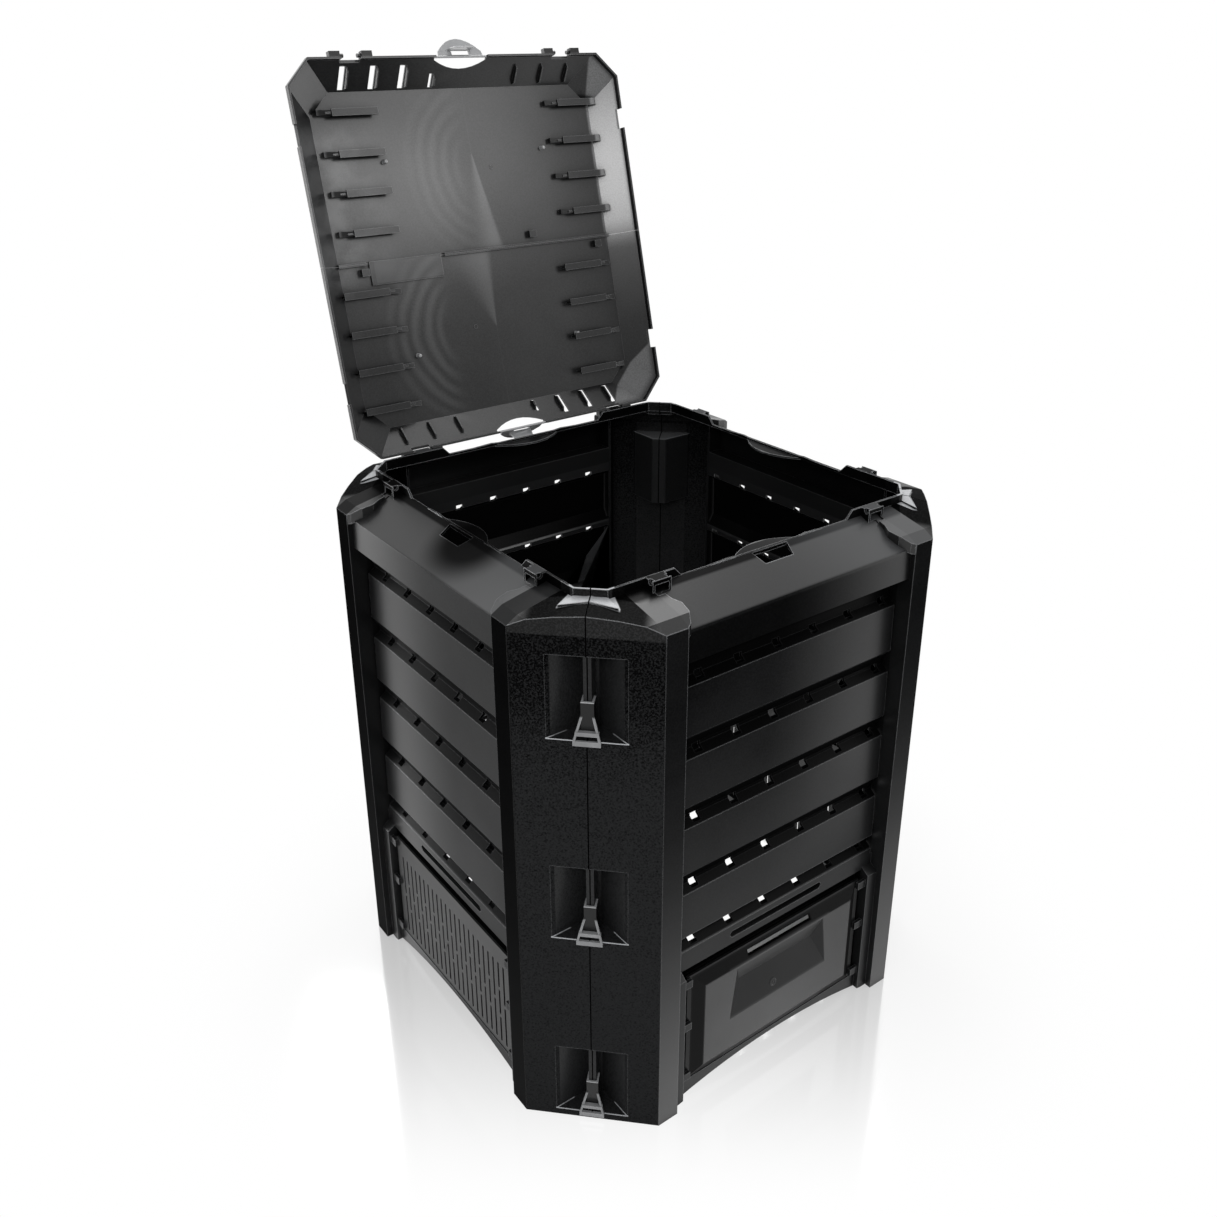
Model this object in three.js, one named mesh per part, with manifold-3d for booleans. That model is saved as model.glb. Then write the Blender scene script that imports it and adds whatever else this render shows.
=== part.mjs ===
// Compost bin of moulded plastic: four alike walls clipped together at the corners, an emptying
// door in the front and back, a vent grille in each side, and a two-part lid shown swung open.
// Millimetres, +Z up. The front wall faces -Y. The origin is on the ground, under the middle of
// the bin and its open lid taken together.

import * as THREE from 'three';
import { ConvexGeometry } from 'three/addons/geometries/ConvexGeometry.js';
import { mergeVertices } from 'three/addons/utils/BufferGeometryUtils.js';
import Module from 'manifold-3d';

const wasm = await Module();
wasm.setup();

// Driving sizes of the whole bin
const binWidth = 720;
const rimHeight = 793;
const lidRise = 35;
const wallThick = 4;
const fitGap = 0.3;
const seamGap = 0.3;
const overrun = 6;
const lidOpenAngle = THREE.MathUtils.degToRad(104);

// Corner posts
const postLeg = 131;
const postBand = 33;
const postTopHeight = 758;
const postPeakHeight = 775.5;
const postRoofShare = 0.22;
const postEdgeShare = 0.6;
const postSeamShare = 0.08;
const postRiseShare = 0.243;
const postCapReach = 18;
const postCapDepth = 46;
const gussetReach = 24;
const gussetRise = 2.5;
const gussetSlope = 1.6;

// Rim: an upright lip with a dip for the latch, a ledge behind it and two knuckles
const lipInset = 77;
const lipThick = 3;
const lipHeight = 12;
const lipCornerLeg = 29;
const dipDepth = 14.5;
const dipHalf = 30;
const dipGap = 11;
const dipStepShares = [[0.42, 0.48], [0.88, 0.17]];
const ledgeHalf = 60;
const ledgeDepth = 26;
const ledgeThick = 3;
const ledgeDrop = 15;
const slotHalf = 30;
const slotTaper = 6;
const slotDepth = 19.5;
const slotOffset = 1.5;
const knuckleInset = 98;
const knuckleHalf = 14;
const knuckleReach = 14;
const knuckleCheek = 3.5;
const knuckleRoof = 6;

// Shoulder, fascia and louvre slats
const shoulderDrop = 32;
const shoulderInset = 8;
const fasciaInset = 7;
const fasciaHeight = 43;
const recessInset = 35;
const firstGap = 45;
const slatCount = 4;
const slatPitch = 104;
const slatHeight = 69.5;
const slatTopInset = 24;
const slatFootInset = 23;
const slatUndercut = 21;
const slatCrown = 9;
const slatGroove = 3;
const ventWidth = 12.4;
const ventHeight = 10;
const railVentHeight = 18;
const ventLift = 3;
const ventMargin = 33.5;
const ventOffset = 11.7;
const ventCount = 6;

// Grab rail above the door
const railDrop = 24;
const railHeight = 32;
const railInset = 23;
const railSlotHalf = 88;
const railSlotHeight = 11;
const railSlotRise = 11;

// Door place: sill, stiles, frame round the opening
const sillHeight = 27.7;
const sillInset = 18;
const archInset = 11;
const archRise = 20;
const archSteps = 12;
const jambWidth = 46;
const openingFoot = 40;
const openingTop = 196;
const frameWidth = 6;
const stileWidth = 19;
const stileInset = 10;
const stileHeight = 228;
const stileSlope = 9;
const lugShares = [0.895, 0.566, 0.167];
const lugHeight = 12;
const lugThick = 5;
const lugBite = 5;

// Door and grille plates that sit in front of that frame
const plateSideGap = 10;
const plateHeight = 185;
const plateThick = 3.4;
const plateGap = 0.6;
const doorSkin = 3;
const panelInset = 7;
const panelFoot = 3;
const panelRise = 9.5;
const panelBevel = 18.6;
const recessTopShare = 0.503;
const recessFootShare = 0.569;
const recessDeepShare = 0.425;
const recessTopRise = 162;
const recessDeepRise = 128;
const recessFootRise = 75;
const recessDepth = 10.9;
const doorSlotShare = 0.365;
const doorSlotRise = 169;
const doorSlotHeight = 8;
const grilleSlot = 4;
const grilleMargin = 17.4;
const grilleCount = 23;
const grilleFoot = 9;
const grilleField = 146;
const grilleBridge = 6;

// Pockets in the corner posts, with the clips in them
const pocketHeights = [611, 311, 11];
const pocketHeight = 113;
const pocketHalf = 49.1;
const pocketDepth = 40;
const flangeThick = 5;
const flangeInset = 8;
const clipThick = 2.7;
const clipTop = 50;
const clipFoot = 3;
const clipDepth = 17;
const earHalf = 17;
const earThick = 3;
const earTop = 33;
const earFoot = 6;
const clipBarRise = 7;
const clipBarHeight = 5;

// Lid, in its shut place
const lidInset = 70;
const lidCornerLeg = 37;
const lidSkirtFoot = 8;
const lidSkirtHeight = 9;
const lidTopInset = 40;
const lidTopLeg = 36;
const lidSkin = 3;
const lidSeamGap = 0.3;
const hingeOut = 9;
const hingeDrop = 3;
const pinRadius = 3;
const pinEnd = 11;
const lugNear = 17;
const lugFar = 34;
const lugReach = 8;
const lugRise = 9;
const notchHalf = 15.5;
const notchRise = 3;
const railInsets = [49, 132];
const railLevelShares = [0.159, 0.359, 0.555, 0.759];
const railLength = 96;
const railRise = 12;
const railWeb = 2.5;
const railFlange = 8;
const railWedge = 24;
const wallSlotShares = [0.334, 0.503, 0.672];
const smallSlotShare = 0.162;
const wallSlotWidth = 9;
const smallSlotWidth = 5;
const wallSlotNear = 10;
const wallSlotFar = 38;
const smallSlotNear = 21;
const finThick = 2;
const finReach = 9;
const seamRibHeight = 5;
const seamRibThick = 2.4;
const tongueInset = 90;
const tongueLength = 123;
const tongueDepth = 33;
const tongueThick = 2.5;
const tongueRoom = 6;
const frontSnapShares = [0.331];
const frontSnapInsets = [15];
const backSnapShares = [-0.769, 0.724];
const backSnapInsets = [11, 12];
const snapSize = 13;
const snapRise = 9;
const cutHalf = 45.5;
const cutDepth = 16;

// Latches, pivoting in the cut-outs of the lid's end walls
const pivotInset = 71.5;
const pivotDrop = 2;
const rodRadius = 2;
const thumbHalf = 39;
const thumbReach = 30;
const thumbShoulder = 9;
const thumbTaper = 1;
const thumbThick = 2.4;
const thumbLift = THREE.MathUtils.degToRad(20);
const thumbSteps = 8;
const windowHalf = 15;
const windowNear = 2.5;
const windowFar = 10;
const hookOut = 12;
const hookTopHalf = 21;
const hookFootHalf = 16.5;
const hookLength = 17;
const backLatchLift = THREE.MathUtils.degToRad(38);

// Sizes worked out from those above
const half = binWidth / 2;
const bandEdge = half - postLeg;
const returnEdge = bandEdge - postBand;
const seamPlace = half - postLeg / 2;
const seamHalf = seamGap / 2;
const lipHalf = half - lipInset;
const knucklePlace = lipHalf - knuckleInset;
const dipReach = knucklePlace - knuckleHalf - dipGap;
const lipFoot = rimHeight - lipHeight;
const shoulderFoot = lipFoot - shoulderDrop;
const shoulderEdge = half - shoulderInset;
const shoulderShare = shoulderDrop / (shoulderEdge - lipHalf);
const shoulderSkin = wallThick * Math.hypot(1, shoulderShare);
const fasciaFoot = shoulderFoot - fasciaHeight;
const recess = half - recessInset;
const recessBack = recess - wallThick;
const firstSlatTop = fasciaFoot - firstGap;
const slatTops = Array.from({ length: slatCount }, (_, i) => firstSlatTop - i * slatPitch);
const railTop = slatTops[slatCount - 1] - slatHeight - railDrop;
const railFoot = railTop - railHeight;
const railFace = half - railInset;
const sillFace = half - sillInset;
const plateBack = railFace + plateGap;
const plateFace = plateBack + plateThick;
const plateFoot = sillHeight + fitGap;
const stileFace = half - stileInset;
const stileEdge = returnEdge - stileWidth;
const lugHeights = lugShares.map((share) => share * stileHeight);
const plateHalf = stileEdge - plateSideGap;
const recessTopHalf = recessTopShare * plateHalf;
const recessFootHalf = recessFootShare * plateHalf;
const recessDeepHalf = recessDeepShare * plateHalf;
const doorSlotHalf = doorSlotShare * plateHalf;
const grillePitch = (2 * (plateHalf - grilleMargin)) / (grilleCount - 1);
const openingHalf = returnEdge - jambWidth;
const archHalf = returnEdge - archInset;
const ventPitch = (2 * (returnEdge - ventMargin)) / (ventCount - 1);
const lidHalf = half - lidInset;
const railStarts = [railInsets[0] - lidHalf, lidHalf - railInsets[1]];
const railLevels = railLevelShares.map((share) => share * lidHalf);
const wallSlotPlaces = wallSlotShares.map((share) => share * lidHalf);
const smallSlotPlace = smallSlotShare * lidHalf;
const tongueStart = tongueInset - lidHalf;
const tongueEnd = tongueStart + tongueLength;
const frontSnaps = frontSnapShares.map((share, i) => [share * lidHalf, frontSnapInsets[i]]);
const backSnaps = backSnapShares.map((share, i) => [share * lidHalf, backSnapInsets[i]]);
const lidFoot = rimHeight - lidSkirtFoot;
const lidShoulder = lidFoot + lidSkirtHeight;
const lidTop = rimHeight + lidRise;
const hingeY = lipHalf + hingeOut;
const hingeZ = rimHeight - hingeDrop;
const pivotY = half - pivotInset;
const pivotZ = rimHeight - pivotDrop;
const diagonalShare = Math.SQRT1_2;

// Plain shapes and the boolean work

function solid(geometry) {
  geometry.deleteAttribute('normal');
  geometry.deleteAttribute('uv');
  const welded = mergeVertices(geometry);
  const mesh = new wasm.Mesh({
    numProp: 3,
    vertProperties: new Float32Array(welded.attributes.position.array),
    triVerts: new Uint32Array(welded.index.array),
  });
  return new wasm.Manifold(mesh);
}

function extruded(points, depth) {
  const shape = new THREE.Shape(points.map(([u, v]) => new THREE.Vector2(u, v)));
  return new THREE.ExtrudeGeometry(shape, { depth, bevelEnabled: false, steps: 1 });
}

// A plan outline [x, y] raised from z0 to z1
function prism(points, z0, z1) {
  return solid(extruded(points, z1 - z0).translate(0, 0, z0));
}

// A profile [y, z] run along x from x0 to x1
function barX(points, x0, x1) {
  const turn = new THREE.Matrix4().makeBasis(
    new THREE.Vector3(0, 1, 0), new THREE.Vector3(0, 0, 1), new THREE.Vector3(1, 0, 0));
  return solid(extruded(points, x1 - x0).applyMatrix4(turn).translate(x0, 0, 0));
}

// A face outline [x, z] run along y from y0 to y1
function barY(points, y0, y1) {
  const turn = new THREE.Matrix4().makeBasis(
    new THREE.Vector3(1, 0, 0), new THREE.Vector3(0, 0, 1), new THREE.Vector3(0, -1, 0));
  return solid(extruded(points, y1 - y0).applyMatrix4(turn).translate(0, y1, 0));
}

function box(x0, x1, y0, y1, z0, z1) {
  const lengths = [x1 - x0, y1 - y0, z1 - z0].map(Math.abs);
  const middle = [(x0 + x1) / 2, (y0 + y1) / 2, (z0 + z1) / 2];
  return solid(new THREE.BoxGeometry(...lengths).translate(...middle));
}

function hull(points) {
  return solid(new ConvexGeometry(points.map((p) => new THREE.Vector3(...p))));
}

function union(parts) {
  return parts.reduce((sum, part) => sum.add(part));
}

function without(body, cuts) {
  return body.subtract(union(cuts));
}

function flipped(points, side) {
  return points.map(([x, ...rest]) => [side * x, ...rest]);
}

// The point of a round bar's outline that runs along x
function round(y, z, radius, sides) {
  return Array.from({ length: sides }, (_, i) => {
    const angle = ((i + 0.5) / sides) * 2 * Math.PI;
    return [y + radius * Math.cos(angle), z + radius * Math.sin(angle)];
  });
}

// A point at the right front corner: s along the chamfer from the seam, d inward from its face
function corner(s, d) {
  return [seamPlace - (s + d) * diagonalShare, -seamPlace - (s - d) * diagonalShare];
}

// Wall: built as the front wall, then turned to its side

function wallProfile() {
  const outer = [
    [-lipHalf, lipFoot],
    [-shoulderEdge, shoulderFoot],
    [-half + fasciaInset, fasciaFoot],
    [-recess, fasciaFoot],
  ];
  const inner = [
    [-recessBack, fasciaFoot + wallThick],
    [-shoulderEdge + wallThick, fasciaFoot + wallThick],
    [-shoulderEdge + wallThick, shoulderFoot + wallThick * shoulderShare - shoulderSkin],
    [-lipHalf + lipThick, lipFoot + lipThick * shoulderShare - shoulderSkin],
    [-lipHalf + lipThick, lipFoot],
  ];
  const innerRuns = [];
  const crownBack = slatCrown - wallThick / 2;
  slatTops.forEach((top, i) => {
    const foot = top - slatHeight;
    const drop = i < slatCount - 1 ? slatUndercut : 0;
    const lift = drop > 0 ? wallThick / 4 : wallThick;
    outer.push([-recess, top + slatCrown], [-half + slatTopInset, top]);
    outer.push([-half + slatFootInset, foot], [-recess, foot - drop]);
    innerRuns.push([
      [-recessBack, foot - drop + lift],
      [-half + slatFootInset + wallThick, foot + lift],
      [-half + slatTopInset + wallThick, top - wallThick / 2],
      [-recessBack, top + crownBack],
    ]);
  });
  outer.push([-recess, railTop + slatCrown], [-railFace, railTop]);
  outer.push([-railFace, railFoot], [-recess, railFoot]);
  innerRuns.push([
    [-recessBack, railFoot + wallThick],
    [-railFace + wallThick, railFoot + wallThick],
    [-railFace + wallThick, railTop - wallThick / 2],
    [-recessBack, railTop + crownBack],
  ]);
  outer.push([-recess, sillHeight], [-sillFace, sillHeight], [-sillFace, 0]);
  innerRuns.push([
    [-sillFace + wallThick, 0],
    [-sillFace + wallThick, sillHeight - wallThick],
    [-recessBack, sillHeight - wallThick],
  ]);
  return [...outer, ...innerRuns.reverse().flat(), ...inner];
}

const roofs = [
  (x, y) => lipFoot - postRoofShare * (y - lipHalf),
  (x, y) => postTopHeight + postEdgeShare * (half - y),
  (x, y) => postPeakHeight
    - postSeamShare * (y - x) * diagonalShare
    + postRiseShare * (2 * seamPlace - x - y) * diagonalShare,
];

// Everything above one sloping plane over the corner
function above(roof, drop, side) {
  const near = returnEdge - postLeg;
  const far = half + postLeg;
  const points = [];
  for (const x of [near, far]) {
    for (const y of [near, far]) {
      const z = roof(x, y) - drop;
      points.push([side * x, -y, z], [side * x, -y, z + half]);
    }
  }
  return hull(points);
}

function roofed(body, drop, side) {
  return without(body, roofs.map((roof) => above(roof, drop, side)));
}

function lipSeam(thick) {
  const place = lipHalf - lipCornerLeg / 2 - thick * diagonalShare;
  return [place - seamHalf * diagonalShare, -place - seamHalf * diagonalShare];
}

function lipBend(thick) {
  const shift = thick * Math.tan(Math.PI / 8);
  return [lipHalf - lipCornerLeg - shift, -lipHalf + thick];
}

function postShell(side) {
  const outline = [
    [returnEdge, -lipHalf],
    [returnEdge, -half],
    [bandEdge, -half],
    corner(seamHalf, 0),
    lipSeam(0),
    lipBend(0),
  ];
  const bend = bandEdge - wallThick * Math.tan(Math.PI / 8);
  const past = returnEdge - wallThick;
  const hollow = [
    [returnEdge + wallThick, -half + wallThick],
    [bend, -half + wallThick],
    corner(-overrun, wallThick),
    corner(-overrun, postLeg),
    [past, corner(-overrun, postLeg)[1]],
    [past, -recessBack],
    [returnEdge + wallThick, -recessBack],
  ];
  const shell = roofed(prism(flipped(outline, side), 0, rimHeight), 0, side);
  const inside = prism(flipped(hollow, side), -overrun, rimHeight);
  return shell.subtract(roofed(inside, shoulderSkin, side));
}

// The raised part of the post's top that laps over the end of the shoulder
function postCap(side) {
  const reach = returnEdge - postCapReach;
  const outline = [
    [returnEdge + wallThick / 2, -lipHalf],
    [reach + postCapReach / 2, -lipHalf - postCapDepth / 8],
    [reach + postCapReach / 3, -half + postCapDepth],
    [reach, -half + postCapDepth * 3 / 4],
    [reach + lipThick, -half + postCapReach],
    [reach + postCapReach * 2 / 3, -half + wallThick],
    [returnEdge + wallThick / 2, -half],
  ];
  const cap = roofed(prism(flipped(outline, side), shoulderFoot - shoulderDrop, rimHeight), 0, side);
  const floor = (x, y) => lipFoot - shoulderSkin / 2 - shoulderShare * (y - lipHalf);
  return cap.intersect(above(floor, 0, side));
}

// The bright flat facet between the rim's corner and the post's top
function gusset(side) {
  const low = lipFoot - gussetReach * shoulderShare - shoulderSkin / 2;
  const lipEnd = lipSeam(lipThick / 2);
  const bend = lipBend(lipThick / 2);
  const seam = corner(seamHalf, gussetReach);
  const toe = [bend[0] + lipThick, -lipHalf - gussetReach];
  const points = [
    [...lipEnd, lipFoot + gussetRise],
    [...bend, lipFoot + gussetRise],
    [...seam, lipFoot + gussetSlope],
    [...toe, lipFoot - gussetSlope],
  ];
  const body = points.flatMap(([x, y, z]) => [[side * x, y, z], [side * x, y, low + lipThick]]);
  return roofed(hull(body), -gussetReach, side);
}

function lip() {
  const outer = [lipBend(0), lipSeam(0)];
  const inner = [lipSeam(lipThick), lipBend(lipThick)];
  const right = [...outer, ...inner];
  const outline = [...right, ...flipped(right, -1).reverse()];
  const band = prism(outline, lipFoot - wallThick, rimHeight);
  const floor = rimHeight - dipDepth;
  const steps = dipStepShares.map(([run, rise]) => [run * dipReach, floor + (1 - run) * rise * dipDepth]);
  const rightDip = [[dipHalf, floor], ...steps, [dipReach, rimHeight + overrun]];
  const dip = [...rightDip, ...flipped(rightDip, -1).reverse()];
  return band.subtract(barY(dip, -lipHalf - overrun, -lipHalf + lipThick + overrun));
}

function arc(halfWidth, y0, y1, steps) {
  return Array.from({ length: steps + 1 }, (_, i) => {
    const share = (2 * i) / steps - 1;
    return [share * halfWidth, y0 + (y1 - y0) * (1 - share * share)];
  });
}

function ledge() {
  const ends = -lipHalf + lipThick / 2;
  const inner = arc(ledgeHalf, ends, -lipHalf + ledgeDepth, thumbSteps);
  const outer = arc(ledgeHalf, ends, -lipHalf - slotOffset, thumbSteps).reverse();
  const top = rimHeight - ledgeDrop;
  return prism([...inner, ...outer.slice(1, -1)], top - ledgeThick, top);
}

function latchSlot() {
  const near = -lipHalf - slotOffset;
  const far = near - slotDepth;
  const narrow = slotHalf - slotTaper;
  const outline = [[-slotHalf, near], [slotHalf, near], [narrow, far], [-narrow, far]];
  return prism(outline, shoulderFoot - shoulderDrop, rimHeight);
}

function shoulderAt(y) {
  return lipFoot - shoulderShare * (y - lipHalf);
}

function knuckle(x) {
  const back = lipHalf - lipThick / 2;
  const face = lipHalf + knuckleReach;
  const outline = [
    [-back, rimHeight],
    [-face, rimHeight],
    [-face, shoulderAt(face) - wallThick / 2],
    [-back, shoulderAt(back) - wallThick / 2],
  ];
  return barX(outline, x - knuckleHalf, x + knuckleHalf);
}

function knuckleCuts(x) {
  const caveBack = lipHalf + lipThick;
  const caveFace = lipHalf + knuckleReach + overrun;
  const roof = rimHeight - knuckleRoof;
  const cave = [
    [-caveBack, roof],
    [-caveFace, roof],
    [-caveFace, shoulderAt(caveFace) + lipThick / 2],
    [-caveBack, shoulderAt(caveBack) + lipThick / 2],
  ];
  const inner = knuckleHalf - knuckleCheek;
  const seat = pinRadius + fitGap * 2;
  const cuts = [barX(cave, x - inner, x + inner)];
  for (const side of [-1, 1]) {
    const ends = [x + side * inner, x + side * (knuckleHalf + fitGap)].sort((a, b) => a - b);
    cuts.push(barX(round(-hingeY, hingeZ, seat, 8), ...ends));
    cuts.push(box(...ends, -hingeY - seat, -hingeY + seat, hingeZ, rimHeight + overrun));
  }
  return cuts;
}

function vents() {
  const cuts = [];
  const levels = slatTops.map((top) => [top, ventHeight]);
  for (const [level, height] of [...levels, [railTop, railVentHeight]]) {
    for (let i = 0; i < ventCount; i += 1) {
      const x = (i - (ventCount - 1) / 2) * ventPitch + ventOffset;
      const z = level + ventLift;
      cuts.push(box(x - ventWidth / 2, x + ventWidth / 2,
        -half, -recessBack + overrun, z, z + height));
    }
  }
  return cuts;
}

function railSlot() {
  const low = railFoot + railSlotRise;
  const high = low + railSlotHeight;
  const bend = railSlotHeight / 3;
  const outline = [
    [railSlotHalf, low + bend],
    [railSlotHalf, high - bend],
    [railSlotHalf - bend, high],
  ];
  const foot = [[railSlotHalf - bend, low]];
  const right = [...foot, ...outline];
  return barY([...right, ...flipped(right, -1).reverse()], -railFace - overrun, -recess);
}

function doorPlace() {
  const opening = box(-openingHalf, openingHalf, -half, -recessBack + overrun,
    openingFoot, openingTop);
  const edge = openingHalf + frameWidth;
  const frame = box(-edge, edge, -railFace, -recess + wallThick / 2,
    openingFoot - frameWidth, openingTop + frameWidth);
  return { opening, frame };
}

function stile(side) {
  const back = recess - wallThick / 2;
  const slopeTop = stileHeight - stileSlope;
  const outline = (skin) => [
    [-back, -skin],
    [-stileFace + skin, -skin],
    [-stileFace + skin, slopeTop - skin / 2],
    [-railFace + skin / 2, stileHeight - skin],
    [-back, stileHeight - skin],
  ];
  const ends = (x0, x1) => [side * x0, side * x1].sort((a, b) => a - b);
  const body = barX(outline(0), ...ends(stileEdge, returnEdge + wallThick / 2));
  const hollow = barX(outline(wallThick), ...ends(stileEdge + wallThick, returnEdge));
  const room = box(...ends(stileEdge + wallThick, returnEdge), -recess - wallThick / 2,
    -recessBack + overrun, -wallThick, stileHeight - wallThick);
  return { body, hollow: hollow.add(room) };
}

function lugs(side) {
  const parts = [];
  for (const z of lugHeights) {
    const ends = [side * (plateHalf - lugBite), side * (stileEdge + wallThick / 2)];
    ends.sort((a, b) => a - b);
    const face = plateFace + fitGap;
    parts.push(box(...ends, -face - lugThick, -face, z - lugHeight / 2, z + lugHeight / 2));
  }
  return parts;
}

function arch() {
  const points = [];
  for (let i = 0; i <= archSteps; i += 1) {
    const share = (2 * i) / archSteps - 1;
    points.push([share * archHalf, archRise * (1 - share * share)]);
  }
  points.push([archHalf, -overrun], [-archHalf, -overrun]);
  return barY(points, -half - overrun, -recessBack + overrun);
}

// A pocket's hollow, the box moulded round it inside the bin, and the flange in it
function pocket(side, shelf) {
  const edge = pocketHalf;
  const flat = pocketHalf - pocketDepth;
  const skin = wallThick * Math.SQRT2;
  const inside = [
    corner(edge + overrun / 2, -overrun / 2),
    corner(seamHalf - overrun, -overrun / 2),
    corner(seamHalf - overrun, pocketDepth),
    corner(flat, pocketDepth),
  ];
  const outside = [
    corner(edge + skin - wallThick / 2, wallThick / 2),
    corner(seamHalf, wallThick / 2),
    corner(seamHalf, pocketDepth + wallThick),
    corner(flat + skin - wallThick, pocketDepth + wallThick),
  ];
  const flange = [
    corner(seamHalf, flangeInset),
    corner(flangeThick, flangeInset),
    corner(flangeThick, pocketDepth + wallThick / 2),
    corner(seamHalf, pocketDepth + wallThick / 2),
  ];
  const roof = shelf + pocketHeight;
  const lap = wallThick / 2;
  return {
    hollow: prism(flipped(inside, side), shelf, roof),
    housing: prism(flipped(outside, side), shelf - wallThick, roof + wallThick),
    flange: prism(flipped(flange, side), shelf - lap, roof + lap),
  };
}

function wall() {
  const sides = [-1, 1];
  const stiles = sides.map(stile);
  const pockets = sides.flatMap((side) => pocketHeights.map((shelf) => pocket(side, shelf)));
  const place = doorPlace();
  const groove = sides.map((side) => {
    const ends = [side * (returnEdge - slatGroove), side * returnEdge].sort((a, b) => a - b);
    return box(...ends, -sillFace, -recess, railTop - slatCrown, fasciaFoot);
  });
  const end = returnEdge + wallThick / 2;
  let body = barX(wallProfile(), -end, end);
  body = without(body, [...groove, ...stiles.map((s) => s.hollow)]);
  body = union([body, lip(), ledge(), place.frame, ...sides.map(postShell), ...sides.map(postCap)]);
  body = union([body, ...sides.map(gusset), ...[-1, 1].map((s) => knuckle(s * knucklePlace))]);
  body = union([body, ...pockets.map((p) => p.housing)]);
  body = union([body, ...stiles.map((s) => s.body.subtract(s.hollow)), ...sides.flatMap(lugs)]);
  body = without(body, [...pockets.map((p) => p.hollow), place.opening, ...vents()]);
  body = without(body, [railSlot(), latchSlot(), arch()]);
  body = without(body, sides.flatMap((s) => knuckleCuts(s * knucklePlace)));
  return union([body, ...pockets.map((p) => p.flange)]);
}

// Door: a flange that runs in the stiles, a raised hollow panel and a finger recess

function raisedPanel(skin) {
  const base = plateHalf - panelInset - skin;
  const face = base - panelBevel;
  const low = plateFoot + panelFoot + skin;
  const high = plateFoot + plateHeight - panelFoot - skin;
  const back = -plateBack - (skin > 0 ? -overrun : plateThick / 2);
  const front = -plateFace - panelRise + skin;
  const points = [];
  for (const x of [-1, 1]) {
    for (const z of [0, 1]) {
      const rise = z ? high : low;
      const inward = z ? -panelBevel : panelBevel;
      points.push([x * base, back, rise], [x * base, -plateFace + skin, rise]);
      points.push([x * face, front, rise + inward]);
    }
  }
  return hull(points);
}

function recessBlock(skin) {
  const front = -plateFace - panelRise;
  const out = skin > 0 ? front + skin / 2 : front - overrun;
  const deep = front + recessDepth + skin * 0.6;
  const top = plateFoot + recessTopRise + skin;
  const foot = plateFoot + recessFootRise - skin;
  const points = [];
  for (const x of [-1, 1]) {
    for (const y of skin > 0 ? [out] : [out, front]) {
      points.push([x * (recessTopHalf + skin), y, top], [x * (recessFootHalf + skin), y, foot]);
    }
    points.push([x * (recessDeepHalf + skin), deep, plateFoot + recessDeepRise + skin]);
    points.push([x * (recessDeepHalf + skin), deep, plateFoot + recessDeepRise - skin]);
  }
  return hull(points);
}

function door() {
  const flange = box(-plateHalf, plateHalf, -plateFace, -plateBack,
    plateFoot, plateFoot + plateHeight);
  const skinned = flange.add(raisedPanel(0)).subtract(raisedPanel(doorSkin));
  const slotFoot = plateFoot + doorSlotRise;
  const slot = box(-doorSlotHalf, doorSlotHalf, -half, -plateBack + overrun,
    slotFoot, slotFoot + doorSlotHeight);
  return skinned.add(recessBlock(doorSkin)).subtract(recessBlock(0)).subtract(slot);
}

// Grille: a flat plate with staggered slots

function grille() {
  const plate = box(-plateHalf, plateHalf, -plateFace, -plateBack,
    plateFoot, plateFoot + plateHeight);
  const low = plateFoot + grilleFoot;
  const cuts = [];
  for (let i = 0; i < grilleCount; i += 1) {
    const x = (i - (grilleCount - 1) / 2) * grillePitch;
    const rows = i % 2 ? 3 : 2;
    const height = (grilleField - (rows - 1) * grilleBridge) / rows;
    for (let j = 0; j < rows; j += 1) {
      const z = low + j * (height + grilleBridge);
      cuts.push(box(x - grilleSlot / 2, x + grilleSlot / 2,
        -plateFace - overrun, -plateBack + overrun, z, z + height));
    }
  }
  return without(plate, cuts);
}

// Clip: a channel over the two flanges, with two flared ears that reach the post's face

function clip(shelf) {
  const inner = flangeThick + fitGap;
  const outer = inner + clipThick;
  const front = flangeInset - fitGap - clipThick;
  const back = front + clipDepth;
  const plan = (points) => points.map(([s, d]) => corner(s, d));
  const channel = [
    [-outer, back], [-outer, front], [outer, front], [outer, back],
    [inner, back], [inner, flangeInset - fitGap], [-inner, flangeInset - fitGap], [-inner, back],
  ];
  const parts = [prism(plan(channel), shelf + clipFoot, shelf + clipTop)];
  const earFront = -fitGap - clipThick;
  for (const side of [-1, 1]) {
    const points = [];
    for (const d of [0, clipThick]) {
      for (const s of [outer - earThick, outer]) {
        points.push([...corner(side * s, front + d), shelf + earTop]);
      }
      for (const s of [earHalf - earThick, earHalf]) {
        points.push([...corner(side * s, earFront + d), shelf + fitGap]);
      }
    }
    parts.push(hull(points));
  }
  const bar = plan([
    [-earHalf, earFront], [earHalf, earFront], [earHalf, -fitGap], [-earHalf, -fitGap],
  ]);
  parts.push(prism(bar, shelf - earFoot, shelf + fitGap * 2));
  const reach = earHalf - earThick * 0.9;
  const cross = plan([
    [-reach, earFront + clipThick / 2], [reach, earFront + clipThick / 2],
    [reach, front - clipThick / 4], [-reach, front - clipThick / 4],
  ]);
  parts.push(prism(cross, shelf + clipBarRise, shelf + clipBarRise + clipBarHeight));
  return union(parts);
}

// Lid half: built as the front half, shut

function octagon(halfWidth, leg, z) {
  const flat = halfWidth - leg;
  const points = [];
  for (const [x, y] of [[halfWidth, flat], [flat, halfWidth]]) {
    points.push([x, y, z], [-x, y, z], [x, -y, z], [-x, -y, z]);
  }
  return points;
}

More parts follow.
